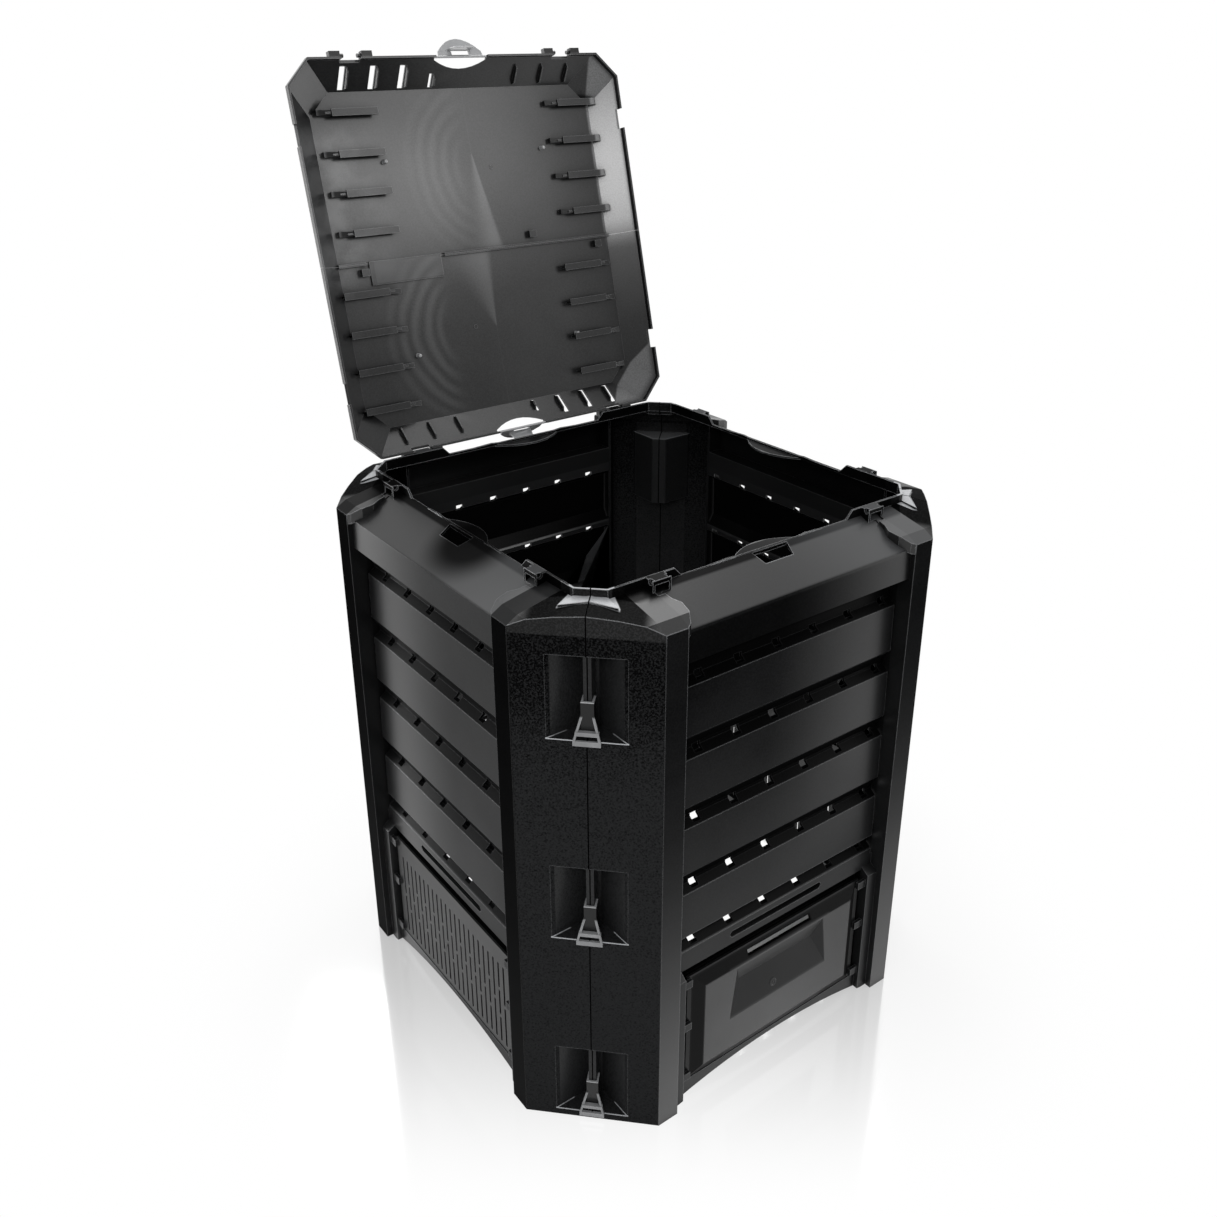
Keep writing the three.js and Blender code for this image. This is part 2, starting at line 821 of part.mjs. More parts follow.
function lidShell() {
  const shrink = 2 - Math.SQRT2;
  const slope = Math.hypot(lidTopInset, lidTop - lidShoulder);
  const topHalf = lidHalf - lidTopInset;
  const outer = hull([
    ...octagon(lidHalf, lidCornerLeg, lidFoot),
    ...octagon(lidHalf, lidCornerLeg, lidShoulder),
    ...octagon(topHalf, lidTopLeg, lidTop),
  ]);
  const rise = lidTop - lidShoulder;
  const bendDrop = lidSkin * (slope - lidTopInset) / lidTopInset * lidTopInset / slope
    + lidSkin * 0.1;
  const bendZ = lidShoulder - bendDrop;
  const ceiling = lidTop - lidSkin;
  const innerTop = lidHalf - lidSkin - (ceiling - bendZ) * lidTopInset / rise;
  const inner = hull([
    ...octagon(lidHalf - lidSkin, lidCornerLeg - lidSkin * shrink, lidFoot - overrun),
    ...octagon(lidHalf - lidSkin, lidCornerLeg - lidSkin * shrink, bendZ),
    ...octagon(innerTop, lidTopLeg - lidSkin * shrink / 2, ceiling),
  ]);
  return outer.subtract(inner);
}

// Height of the bevelled end wall's inner face at a distance y from the middle
function bevelInside(y) {
  const share = (lidTop - lidShoulder) / lidTopInset;
  return lidShoulder + (lidHalf - y) * share - lidSkin * Math.hypot(1, share);
}

function ceilingRail(x, y) {
  const ceiling = lidTop - lidSkin / 2;
  const low = lidTop - lidSkin - railRise;
  const body = box(x + railWedge / 2, x + railLength, y, y + railWeb, low, ceiling);
  const flange = box(x + railWedge - railWeb, x + railLength,
    y - railFlange / 2, y + railFlange / 2 + railWeb, low - railWeb, low + railWeb / 4);
  const wedge = hull([
    [x, y - railFlange / 2, ceiling], [x, y + railFlange / 2, ceiling],
    [x, y - railFlange / 2, low + railRise / 3], [x, y + railFlange / 2, low + railRise / 3],
    [x + railWedge, y - railFlange / 4, low], [x + railWedge, y + railFlange / 2, low],
    [x + railWedge, y - railFlange / 4, ceiling], [x + railWedge, y + railFlange / 2, ceiling],
  ]);
  return [body, flange, wedge];
}

function fin(x, width, reach) {
  const near = lidHalf - reach;
  const far = lidHalf - wallSlotFar;
  const x0 = x + width / 2 + finThick / 2;
  const lap = lidSkin / 2;
  const outline = [
    [-near, bevelInside(near) + lap],
    [-far, bevelInside(far) + lap],
    [-far, bevelInside(far) - finReach],
    [-near + finReach, bevelInside(near)],
  ];
  return barX(outline, x0, x0 + finThick);
}

function lidLugs() {
  const parts = [];
  for (const middle of [-knucklePlace, knucklePlace]) {
    for (const side of [-1, 1]) {
      const at = (a, b) => [middle + side * a, middle + side * b].sort((p, q) => p - q);
      const face = lidHalf + lugReach;
      const foot = lidFoot + fitGap;
      parts.push(box(...at(lugNear, lugFar), -face, -lidHalf + lidSkin / 2, foot, foot + lugRise));
      parts.push(barX(round(-hingeY, hingeZ, pinRadius, 8), ...at(pinEnd, lugNear + lidSkin)));
    }
  }
  return parts;
}

function lidNotches() {
  const cuts = [];
  const top = rimHeight + notchRise;
  const inside = lidHalf - lidSkin - overrun;
  for (const middle of [-knucklePlace, knucklePlace]) {
    const ends = [middle - notchHalf, middle + notchHalf];
    cuts.push(box(...ends, -lidHalf - overrun, -inside, lidFoot - overrun, top));
    for (const side of [-1, 1]) {
      const reach = [side * inside, side * (lidHalf + overrun)].sort((a, b) => a - b);
      cuts.push(box(...reach, ...ends, lidFoot - overrun, top));
    }
  }
  return cuts;
}

function lidHalfBody(ribs, snaps) {
  const shell = lidShell();
  const keep = box(-half, half, -half, -lidSeamGap / 2, lidFoot - overrun, lidTop + overrun);
  const added = [];
  for (const level of railLevels) {
    for (const x of railStarts) {
      added.push(...ceilingRail(x, -level));
    }
  }
  const slots = [];
  const slotList = wallSlotPlaces.map((x) => [-x, wallSlotWidth, wallSlotNear]);
  slotList.push([-smallSlotPlace, smallSlotWidth, smallSlotNear]);
  added.push(...wallSlotPlaces.map((x) => fin(x, wallSlotWidth, wallSlotNear)));
  for (const [x, width, reach] of slotList) {
    added.push(fin(x, width, reach));
    slots.push(box(x - width / 2, x + width / 2, -lidHalf + reach, -lidHalf + wallSlotFar,
      lidFoot, lidTop + overrun));
  }
  const ceiling = lidTop - lidSkin / 2;
  const ribFoot = lidTop - lidSkin - seamRibHeight;
  for (const [x0, x1] of ribs) {
    added.push(box(x0, x1, -lidSeamGap / 2 - seamRibThick, -lidSeamGap / 2, ribFoot, ceiling));
  }
  for (const [x, y] of snaps) {
    added.push(box(x - snapSize / 2, x + snapSize / 2, -y - snapSize / 2, -y + snapSize / 3,
      lidTop - lidSkin - snapRise, ceiling));
  }
  const cut = [
    [-cutHalf, -lidHalf - overrun],
    ...arc(cutHalf, -lidHalf + lidSkin + rodRadius, -lidHalf + cutDepth, thumbSteps),
    [cutHalf, -lidHalf - overrun],
  ];
  const opening = prism(cut, lidFoot - overrun, lidTop + overrun);
  let body = shell.intersect(keep);
  body = union([body, ...added]);
  body = without(body, [...slots, opening, ...lidNotches()]);
  return union([body, ...lidLugs()]);
}

// The tongue of the front half that laps under the back half's ceiling, and its root
function tongue() {
  const ceiling = lidTop - lidSkin;
  const top = ceiling - fitGap;
  const root = -lidSeamGap / 2 - seamRibThick;
  const blade = box(tongueStart, tongueEnd, root, tongueDepth, top - tongueThick, top);
  return blade.add(box(tongueStart, tongueEnd, root, -lidSeamGap / 2,
    top - tongueThick / 2, ceiling + lidSkin / 2));
}

// Latch: a rod, a half-moon thumb plate with a window, and a hook; built as the front one, shut

function latch() {
  const slopeY = Math.cos(thumbLift);
  const slopeZ = Math.sin(thumbLift);
  const edge = arc(thumbHalf - thumbTaper, thumbShoulder, thumbReach, thumbSteps);
  const moon = [[-thumbHalf, 0], ...edge, [thumbHalf, 0]];
  const plate = without(prism(moon, -thumbThick / 2, thumbThick / 2),
    [box(-windowHalf, windowHalf, windowNear, windowFar, -thumbThick, thumbThick)]);
  const rodHalf = cutHalf - fitGap;
  const rod = barX(round(0, 0, rodRadius, 8), -rodHalf, rodHalf);
  const hookY = hookOut * slopeY;
  const hookZ = hookOut * slopeZ;
  return { plate, rod, hookY, hookZ, slopeY, slopeZ };
}

function latchGeometry() {
  const parts = latch();
  const tilt = new THREE.Matrix4().makeRotationX(thumbLift);
  const flip = new THREE.Matrix4().makeScale(1, -1, 1);
  const plate = solid(geometryOf(parts.plate).applyMatrix4(tilt));
  const hook = [
    [-hookTopHalf, parts.hookZ + thumbThick / 4], [hookTopHalf, parts.hookZ + thumbThick / 4],
    [hookFootHalf, parts.hookZ - hookLength], [-hookFootHalf, parts.hookZ - hookLength],
  ];
  const hanging = barY(hook, parts.hookY - thumbThick / 2, parts.hookY + thumbThick / 2);
  return { body: union([plate, parts.rod, hanging]), flip };
}

// From boolean bodies back to geometry, and the places of the parts

function geometryOf(body) {
  const mesh = body.getMesh();
  const geometry = new THREE.BufferGeometry();
  const points = new Float32Array((mesh.vertProperties.length / mesh.numProp) * 3);
  for (let i = 0; i < points.length / 3; i += 1) {
    for (let k = 0; k < 3; k += 1) {
      points[i * 3 + k] = mesh.vertProperties[i * mesh.numProp + k];
    }
  }
  geometry.setAttribute('position', new THREE.BufferAttribute(points, 3));
  geometry.setIndex(new THREE.BufferAttribute(new Uint32Array(mesh.triVerts), 1));
  return geometry;
}

function turned(geometry, angle) {
  return geometry.clone().applyMatrix4(new THREE.Matrix4().makeRotationZ(angle));
}

function turnAboutX(geometry, y, z, angle) {
  return geometry.clone().translate(0, -y, -z)
    .applyMatrix4(new THREE.Matrix4().makeRotationX(angle)).translate(0, y, z);
}

function opened(geometry) {
  return turnAboutX(geometry, hingeY, hingeZ, -lidOpenAngle);
}

const wallPlastic = { color: 0x262728, roughness: 0.55, metalness: 0 };
const insertPlastic = { color: 0x1d1e1f, roughness: 0.5, metalness: 0 };
const lidPlastic = { color: 0x1f2021, roughness: 0.4, metalness: 0 };
const trimPlastic = { color: 0x37393b, roughness: 0.45, metalness: 0 };

const bin = new THREE.Group();
bin.name = 'compost_bin';

function place(name, geometry, look) {
  const mesh = new THREE.Mesh(geometry, new THREE.MeshStandardMaterial(look));
  mesh.name = name;
  bin.add(mesh);
}

const quarter = Math.PI / 2;
const sideTurns = { front: 0, right: quarter, back: 2 * quarter, left: -quarter };
const wallShape = geometryOf(wall());
for (const [name, angle] of Object.entries(sideTurns)) {
  place(`wall_${name}`, turned(wallShape, angle), wallPlastic);
}

const doorShape = geometryOf(door());
for (const name of ['front', 'back']) {
  place(`door_${name}`, turned(doorShape, sideTurns[name]), insertPlastic);
}

const grilleShape = geometryOf(grille());
for (const name of ['left', 'right']) {
  place(`grille_${name}`, turned(grilleShape, sideTurns[name]), insertPlastic);
}

const cornerTurns = { front_right: 0, back_right: quarter, back_left: 2 * quarter,
  front_left: -quarter };
const levelNames = ['top', 'middle', 'foot'];
pocketHeights.forEach((shelf, level) => {
  const clipShape = geometryOf(clip(shelf));
  for (const [name, angle] of Object.entries(cornerTurns)) {
    place(`clip_${name}_${levelNames[level]}`, turned(clipShape, angle), trimPlastic);
  }
});

const ribHalf = lidHalf - lidTopInset;
const ribEnds = [tongueStart - tongueRoom, tongueEnd + tongueRoom];
const frontHalf = lidHalfBody([[-ribHalf, ribEnds[0]], [ribEnds[1], ribHalf]], frontSnaps);
const backHalf = lidHalfBody([[-ribHalf, -ribEnds[1]], [-ribEnds[0], ribHalf]], backSnaps);
place('lid_half_front', opened(geometryOf(frontHalf.add(tongue()))), lidPlastic);
place('lid_half_back', opened(turned(geometryOf(backHalf), 2 * quarter)), lidPlastic);

const latchParts = latchGeometry();
const backLatch = geometryOf(latchParts.body).translate(0, pivotY, pivotZ);
const frontLatch = turned(backLatch, 2 * quarter);
place('latch_front', opened(frontLatch), trimPlastic);
place('latch_back', opened(turnAboutX(backLatch, pivotY, pivotZ, backLatchLift)), trimPlastic);

// The sizes above are counted from the middle of the bin; the frame's middle takes in the lid too
const bounds = new THREE.Box3().setFromObject(bin);
const middle = bounds.getCenter(new THREE.Vector3());
for (const mesh of bin.children) {
  mesh.geometry.translate(0, -middle.y, 0);
}

export default bin;
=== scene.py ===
"""Looks of the garden compost bin: moulded plastics, softened edges, moulding marks and a studio."""

import math

import bmesh
import bpy
from mathutils import Matrix, Quaternion, Vector


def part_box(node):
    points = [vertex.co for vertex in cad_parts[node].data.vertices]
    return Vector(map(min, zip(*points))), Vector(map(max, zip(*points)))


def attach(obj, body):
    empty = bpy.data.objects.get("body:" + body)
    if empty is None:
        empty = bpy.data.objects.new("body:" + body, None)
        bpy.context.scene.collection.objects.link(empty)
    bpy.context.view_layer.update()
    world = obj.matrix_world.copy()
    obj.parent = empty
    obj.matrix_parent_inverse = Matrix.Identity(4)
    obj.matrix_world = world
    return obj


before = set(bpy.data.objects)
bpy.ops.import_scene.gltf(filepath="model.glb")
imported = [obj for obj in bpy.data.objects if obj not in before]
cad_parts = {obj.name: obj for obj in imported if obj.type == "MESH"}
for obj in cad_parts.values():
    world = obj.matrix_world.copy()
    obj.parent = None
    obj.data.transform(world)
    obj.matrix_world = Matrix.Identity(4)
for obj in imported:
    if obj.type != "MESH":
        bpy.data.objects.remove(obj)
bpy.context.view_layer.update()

bl_info = {
    "name": "Compost bin looks",
    "version": (1, 0, 0),
    "blender": (4, 5, 0),
    "location": "View3D > Sidebar > Compost Bin",
    "description": "Plastics, softened edges, moulding marks and studio for a compost bin with a lid",
    "category": "Object",
}

MM = 0.001
BLACK = (0.001, 0.001, 0.001, 1)
WHITE = (1, 1, 1, 1)

# Places read from the fixed frame, in metres
BIN_MIDDLE = (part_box("wall_front")[0].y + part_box("wall_back")[1].y) / 2
LID_HINGE = Vector((0.0, BIN_MIDDLE + 292 * MM, 790 * MM))
LID_OPEN = math.radians(104)
WALL_TURNS = {"front": 0.0, "right": math.pi / 2, "back": math.pi, "left": -math.pi / 2}

# Where the parts of a wall lie. Across is measured from the wall's middle, out from the bin's
# middle (negative on the wall), and up from the ground. Reach is across less out, which is one
# number all over the flat outer face of a corner post. Off is the distance from the post's seam,
# times the root of two. A pair gives where a part's edge starts and where it is complete, and
# three numbers give where a part starts and ends, and over what width it fades
BAND_ACROSS = (195.5 * MM, 196.5 * MM)
POST_ACROSS = (229.2 * MM, 230.0 * MM)
RIGHT_ACROSS = (-50 * MM, 200 * MM)
GAP_OUT = (-334.5 * MM, -323.5 * MM, 1.5 * MM)
INNER_OUT = (-323.5 * MM, -322.5 * MM)
RIM_OUT = (-260 * MM, -259 * MM)
RIM_REACH = (530 * MM, 532 * MM)
POST_REACH = (583 * MM, 585 * MM)
CORNER_REACH = 589 * MM
LOW_UP = (0.0, 750 * MM)
LOWER_POST_UP = (520 * MM, 720 * MM)
SLATS_UP = (690 * MM, 695 * MM)
FASCIA_UP = (685 * MM, 744 * MM, 3 * MM)
INSIDE_UP = (744 * MM, 746 * MM)
BRIGHT_UP = (740 * MM, 760 * MM)
SHOULDER_UP = (748.5 * MM, 750.5 * MM)
LIP_UP = (775.5 * MM, 777.5 * MM)
POST_END_OFF = (90 * MM, 120 * MM)
SEAM_OFF = (0.9 * MM, 1.6 * MM)

# The clip pockets in the posts, and the uppermost one's housing as seen from inside
POCKET_FLOOR = 11 * MM
POCKET_PITCH = 300 * MM
POCKET_OFF = 69.5 * MM
POCKET_EDGE = (POCKET_OFF, POCKET_OFF + 0.4 * MM)
POCKET_REACH = (529 * MM, 531 * MM)
HOUSE_REACH = (578 * MM, 582 * MM)
HOUSE_OFF = (71 * MM, 73 * MM)
HOUSE_UP = (600 * MM, 732 * MM, MM)
ROOF_UP = (725.5 * MM, 727.5 * MM)

# The painted highlight lines round a pocket's floor: how wide each is, and where the front one ends
# and the side ones start
FLOOR_LINE = (0.6 * MM, 1.4 * MM)
FRONT_LINE = (0.6 * MM, 1.8 * MM)
SIDE_LINE = (0.6 * MM, 2.4 * MM)
FRONT_OFF = (POCKET_OFF - 3 * MM, POCKET_OFF)
SIDE_REACH = (558 * MM, 562 * MM)

# The painted shade of the scoop in a wall's shoulder: its middle across and up, and its half width and
# half height
SCOOP_MIDDLE = (35 * MM, 780 * MM)
SCOOP_SIZE = (80 * MM, 34.64 * MM)
SCOOP_UP = (740 * MM, 750 * MM)

# The painted reflection on a post's top, a pale slanted patch: where its slanted edge starts beside
# the seam, how steep the slanted and the front edge are, and where its four edges lie
PATCH_START = 37 * MM
SLANT_SLOPE = 2.2
FRONT_SLOPE = 0.2
PATCH_SLANT = (520 * MM, 526 * MM)
PATCH_BACK = (517 * MM, 521 * MM)
PATCH_FRONT = (551 * MM, 556 * MM)
PATCH_OFF = (50 * MM, 54 * MM)

# Where the parts of a door lie, measured as on its wall, and its round mark's place and normal
FACE_OUT = (-350.3 * MM, -349.6 * MM)
DOOR_RIM_OUT = (-342.5 * MM, -340.5 * MM)
RECESS_ACROSS = (97 * MM, 99 * MM)
RECESS_UP = (193 * MM, 195 * MM)
SLOT_ACROSS = (62 * MM, 63 * MM)
SLOT_UP = (196.2 * MM, 205.7 * MM, 0.4 * MM)
DOOR_MARK = ((-9 * MM, -347.1 * MM, 120 * MM), (0, -1, 0.2))

# A clip's painted highlight: on the frame by its reach, and on the top line by its height over the
# pocket's floor
FRAME_REACH = (CORNER_REACH - 6.5 * MM, CORNER_REACH - 5.5 * MM)
CREST_START = (48.4 * MM, 49.2 * MM)
CREST_END = (60 * MM, 80 * MM)

# How far the painted highlight of an edge reaches over a wall, a clip and the other parts, and how
# far from an inner corner the painted shade reaches
WALL_EDGE = 1.8 * MM
CLIP_EDGE = 1.0 * MM
PART_EDGE = 1.2 * MM
CREASE_REACH = 18 * MM

# The softened edges: points nearer than this are one, facets that turn less than the first
# angle are flat, and edges that turn more than the second are rounded in that many steps
SAME_POINT = 0.02 * MM
FLAT_ANGLE = math.radians(1)
SHARP_ANGLE = math.radians(25)
ROUND_STEPS = 2

# Depths of the reliefs that are pressed into the plastics
INSERT_RELIEF = 0.1 * MM
CLIP_RELIEF = 0.3 * MM
LID_RELIEF = 0.14 * MM

# Roughness and sheen of the grilles with the door marks, and of the latches with the pegs
GRILLE_SATIN = (0.4, 0.12)
LATCH_SATIN = (0.33, 1.0)

# How light each mark is, as a multiple of the plastic's own colour; all but the dust and latches are
# painted light
DUST_SHADE = 14.0
EDGE_HIGHLIGHT = 40.0
PATCH_REFLECTION = 50.0
ROOF_HIGHLIGHT = 60.0
POCKET_HIGHLIGHT = 70.0
DOOR_EDGE_HIGHLIGHT = 14.0
INSERT_EDGE_HIGHLIGHT = 9.0
CLIP_HIGHLIGHT = 45.0
# The latches are made lighter all over; on the lid's pegs, which share their plastic, it is a painted
# highlight
LATCH_SHADE = 18.0
LID_EDGE_HIGHLIGHT = 16.0
LID_BEVEL_REFLECTION = 9.0

# Marks inside the shut lid, across and along from the bin's middle, and the height of its ceiling
LID_GATES = {"front": (42 * MM, -127 * MM), "back": (-35 * MM, 118 * MM)}
LID_PEGS = {
    "front": ((-144 * MM, -146 * MM), (143 * MM, -151 * MM)),
    "back": ((-145 * MM, 148 * MM), (156 * MM, 155 * MM)),
}
LID_CEILING = 825 * MM
LID_GATE_SHARE = 0.6
MARK_SINK = -0.3 * MM

# Flow pattern of each lid half on the shut lid: its side, gate, fan tip, the two ends of the fan
# at the seam, and the strength of the rings
LID_PATTERNS = (
    (-1, LID_GATES["front"], (9 * MM, -150 * MM), (-28 * MM, 40 * MM), 0.45),
    (1, LID_GATES["back"], (3 * MM, 122 * MM), (-95 * MM, 12 * MM), 1.0),
)

# The rings: their turn in radians to the metre, where they start and end from the gate, where
# they stop beside it, and how far they wobble
RING_TURNS = 290.0
RING_START = (50 * MM, 80 * MM)
RING_END = (120 * MM, 190 * MM)
RING_BESIDE = (-70 * MM, -30 * MM)
RING_WOBBLE = 14 * MM

# How soft the flow pattern's edge at the seam is. The fans: the half width of their tip, and how
# they rise and fall from one side to the other, as shares of their half width
HALF_EDGE = (0.0, 2 * MM)
FAN_TIP = 1.5 * MM
FAN_RISE = (-1.1, 0.75)
FAN_FALL = (0.8, 1.1)

# Where the parts of the shut lid lie: across and along from the bin's middle, and up from the
# ground. The lid's corner is given by across plus along, and the rails by both without their signs
# The painted highlight on the left of the lid
GLARE_ACROSS = (-260 * MM, -120 * MM)
GLARE_ALONG = (-170 * MM, 0.0, 50 * MM)
GLOW_MIDDLE = (-110 * MM, -85 * MM)
GLOW_RADIUS = (30 * MM, 150 * MM)
BEVEL_ACROSS = (243 * MM, 247 * MM)
BEVEL_ALONG = (-30 * MM, 30 * MM)
BEVEL_UP = (792 * MM, 796 * MM)
LID_CORNER = (475 * MM, 480 * MM)
TONGUE_ACROSS = (-192 * MM, -75 * MM, MM)
TONGUE_ALONG = (-4 * MM, 30 * MM, MM)
END_WALL_ALONG = (-292 * MM, -288 * MM)
END_WALL_UP = (822 * MM, 824 * MM)
RAIL_FAR = (236 * MM, 240 * MM)
RAIL_FOOT_UP = (790 * MM, 800 * MM)
RAIL_TOP_UP = (819.5 * MM, 823.5 * MM)
SHADE_ALONG = (-20 * MM, 220 * MM)
SHADE_ACROSS = (120 * MM, 240 * MM)

# Places on the floor, in metres from the bin's middle: the square inside the bin with its cut
# corners, its dark strip behind the front wall, and where the mirror image ends
UNDER_FAR = (0.31, 0.33)
UNDER_REACH = (0.52, 0.54)
STRIP_ALONG = (-0.16, -0.12)
MIRROR_REACH = (0.5, 0.8)
FLOOR_REACH = 30.0
FLOOR_DROP = -0.2 * MM

# Each lamp's place, what it is aimed at, its width, and the stage setting that holds its power
LAMPS = {
    "overhead": ((0.8, 1.2, 3.2), (0, 0, 0.6), 2.4, "key_power"),
    "left": ((-2.4, 2.4, 0.9), (0, 0, 0.5), 1.6, "side_power"),
    "right": ((2.4, -1.3, 0.5), (0.3, -0.3, 0.4), 1.0, "right_power"),
    "front": ((1.35, -2.1, 2.35), (0, 0.35, 1.1), 0.9, "front_power"),
    "bevel": ((-1.52, -1.40, 1.88), (0.28, 0.35, 1.15), 0.45, "bevel_power"),
}

# The camera's sensor in millimetres, its shift as a share of the picture's width, and how far it
# sees in metres
SENSOR_WIDTH = 36
CAMERA_SHIFT = (0.0068, -0.0633)
CAMERA_SIGHT = 100

# How the satin sheen of each wall spreads. Over the slats: even, more toward the foot, more to one
# side (lean 1 for the right, -1 for the left), and how much of the last fades toward the foot. Then
# the sheen of the bands beside the posts, and how dark the painted shade in the gaps, scoop, bands and
# fascia is
SHEEN_NAMES = ("even", "foot", "side", "lean", "fade", "band", "gaps", "scoop", "band_shade", "fascia")
WALL_SHEEN = {
    "front": (0.0, 0.52, 0.9, 1, 2.2, 1.2, 0.85, 0, 0.1, 0.6),
    "right": (0.15, 0.4, 0.4, 1, 1.0, 1.0, 0.8, 0, 0.3, 0.4),
    "back": (0.15, 0.4, 0.4, 1, 1.0, 1.0, 0.8, 0, 0.3, 0.4),
    "left": (0.36, 0.0, 0.8, -1, 0, 0.2, 0.6, 0.9, 0.75, 0),
}


# Sizes and colours to change


class BinPlastics(bpy.types.PropertyGroup):
    """Colours and gloss of the four plastics"""

    wall_colour: bpy.props.FloatVectorProperty(
        name="Walls", description="Colour of the walls and corner posts", subtype="COLOR",
        default=(0.0085, 0.0087, 0.009), min=0, max=1)
    insert_colour: bpy.props.FloatVectorProperty(
        name="Doors and grilles", description="Colour of the doors and vent grilles",
        subtype="COLOR", default=(0.0095, 0.0097, 0.01), min=0, max=1)
    lid_colour: bpy.props.FloatVectorProperty(
        name="Lid", description="Colour of the lid halves", subtype="COLOR",
        default=(0.014, 0.0142, 0.0145), min=0, max=1)
    trim_colour: bpy.props.FloatVectorProperty(
        name="Clips and latches", description="Colour of the corner clips and lid latches",
        subtype="COLOR", default=(0.012, 0.0122, 0.0125), min=0, max=1)
    wall_gloss: bpy.props.FloatProperty(
        name="Wall roughness", description="Surface roughness of the slats and rim",
        default=0.42, min=0, max=1)
    post_gloss: bpy.props.FloatProperty(
        name="Post roughness", description="Surface roughness of the grained corner posts",
        default=0.6, min=0, max=1)
    lid_gloss: bpy.props.FloatProperty(
        name="Lid roughness", description="Surface roughness of the lid",
        default=0.3, min=0, max=1)
    grain_size: bpy.props.FloatProperty(
        name="Grain size", description="Width of one cell of the leather grain on the posts",
        default=3.2 * MM, min=0.5 * MM, max=10 * MM, unit="LENGTH")
    grain_depth: bpy.props.FloatProperty(
        name="Grain depth", description="Depth of the leather grain on the posts",
        default=0.6 * MM, min=0, max=2 * MM, unit="LENGTH")


class BinDetails(bpy.types.PropertyGroup):
    """Sizes of the small moulded details"""

    edge_round: bpy.props.FloatProperty(
        name="Edge rounding", description="Width of the softened edges of every moulded part",
        default=0.9 * MM, min=0.1 * MM, max=3 * MM, unit="LENGTH")
    gate_radius: bpy.props.FloatProperty(
        name="Gate mark radius", description="Radius of the round moulding marks",
        default=6 * MM, min=1 * MM, max=20 * MM, unit="LENGTH")
    gate_height: bpy.props.FloatProperty(
        name="Gate mark height", description="Height of the ring of a round moulding mark",
        default=0.6 * MM, min=0.1 * MM, max=3 * MM, unit="LENGTH")
    peg_radius: bpy.props.FloatProperty(
        name="Peg radius", description="Radius of the small pegs inside the lid",
        default=3.2 * MM, min=1 * MM, max=10 * MM, unit="LENGTH")
    peg_height: bpy.props.FloatProperty(
        name="Peg height", description="Height of the small pegs inside the lid",
        default=9 * MM, min=1 * MM, max=30 * MM, unit="LENGTH")


class BinStage(bpy.types.PropertyGroup):
    """Camera, lamps and floor"""

    camera_turn: bpy.props.FloatProperty(
        name="Camera azimuth", description="Direction the camera looks from, round the bin",
        default=math.radians(-36.07), subtype="ANGLE")
    camera_lift: bpy.props.FloatProperty(
        name="Camera elevation", description="Height angle of the camera above the horizon",
        default=math.radians(22.81), subtype="ANGLE")
    camera_roll: bpy.props.FloatProperty(
        name="Camera roll", description="Turn of the camera about its own line of sight",
        default=math.radians(-0.46), subtype="ANGLE")
    camera_range: bpy.props.FloatProperty(
        name="Camera distance", description="Distance from the camera to its target",
        default=1.762, min=0.1, unit="LENGTH")
    camera_target: bpy.props.FloatVectorProperty(
        name="Camera target", description="Point that the camera is aimed at",
        default=(-0.01718, 0.00619, 0.69214), subtype="XYZ")
    lens: bpy.props.FloatProperty(
        name="Lens", description="Focal length on a 36 mm wide sensor, in millimetres",
        default=34.58, min=5, max=200)
    floor_colour: bpy.props.FloatVectorProperty(
        name="Floor", description="Colour of the studio floor", subtype="COLOR",
        default=(0.93, 0.93, 0.93), min=0, max=1)
    floor_rough: bpy.props.FloatProperty(
        name="Floor roughness", description="Roughness of the mirror image in the studio floor",
        default=0.09, min=0, max=1)
    floor_gloss: bpy.props.FloatProperty(
        name="Floor gloss", description="Strength of the mirror image in the floor beside the bin",
        default=0.45, min=0, max=1)
    floor_shade: bpy.props.FloatProperty(
        name="Floor shade", description="Strength of the shadow on the floor beside the bin",
        default=0.25, min=0, max=1)
    floor_near: bpy.props.FloatProperty(
        name="Floor fade start", description="Where the mirror image starts to fade, toward the camera",
        default=0.05, min=0, unit="LENGTH")
    floor_far: bpy.props.FloatProperty(
        name="Floor fade end", description="Where the mirror image has faded, toward the camera",
        default=0.56, min=0, unit="LENGTH")
    key_power: bpy.props.FloatProperty(
        name="Overhead lamp", description="Power of the large lamp above the bin, in watts",
        default=60, min=0)
    side_power: bpy.props.FloatProperty(
        name="Left lamp", description="Power of the lamp behind on the left, in watts",
        default=70, min=0)
    right_power: bpy.props.FloatProperty(
        name="Right lamp", description="Power of the low lamp on the right, in watts",
        default=18, min=0)
    front_power: bpy.props.FloatProperty(
        name="Front lamp", description="Power of the lamp that lights the lid, in watts",
        default=12, min=0)
    bevel_power: bpy.props.FloatProperty(
        name="Bevel lamp", description="Power of the small lamp that lights the lid's right bevel",
        default=9, min=0)
    sky: bpy.props.FloatProperty(
        name="Sky", description="Strength of the even light from all round",
        default=0.45, min=0, max=1)


# Material nodes


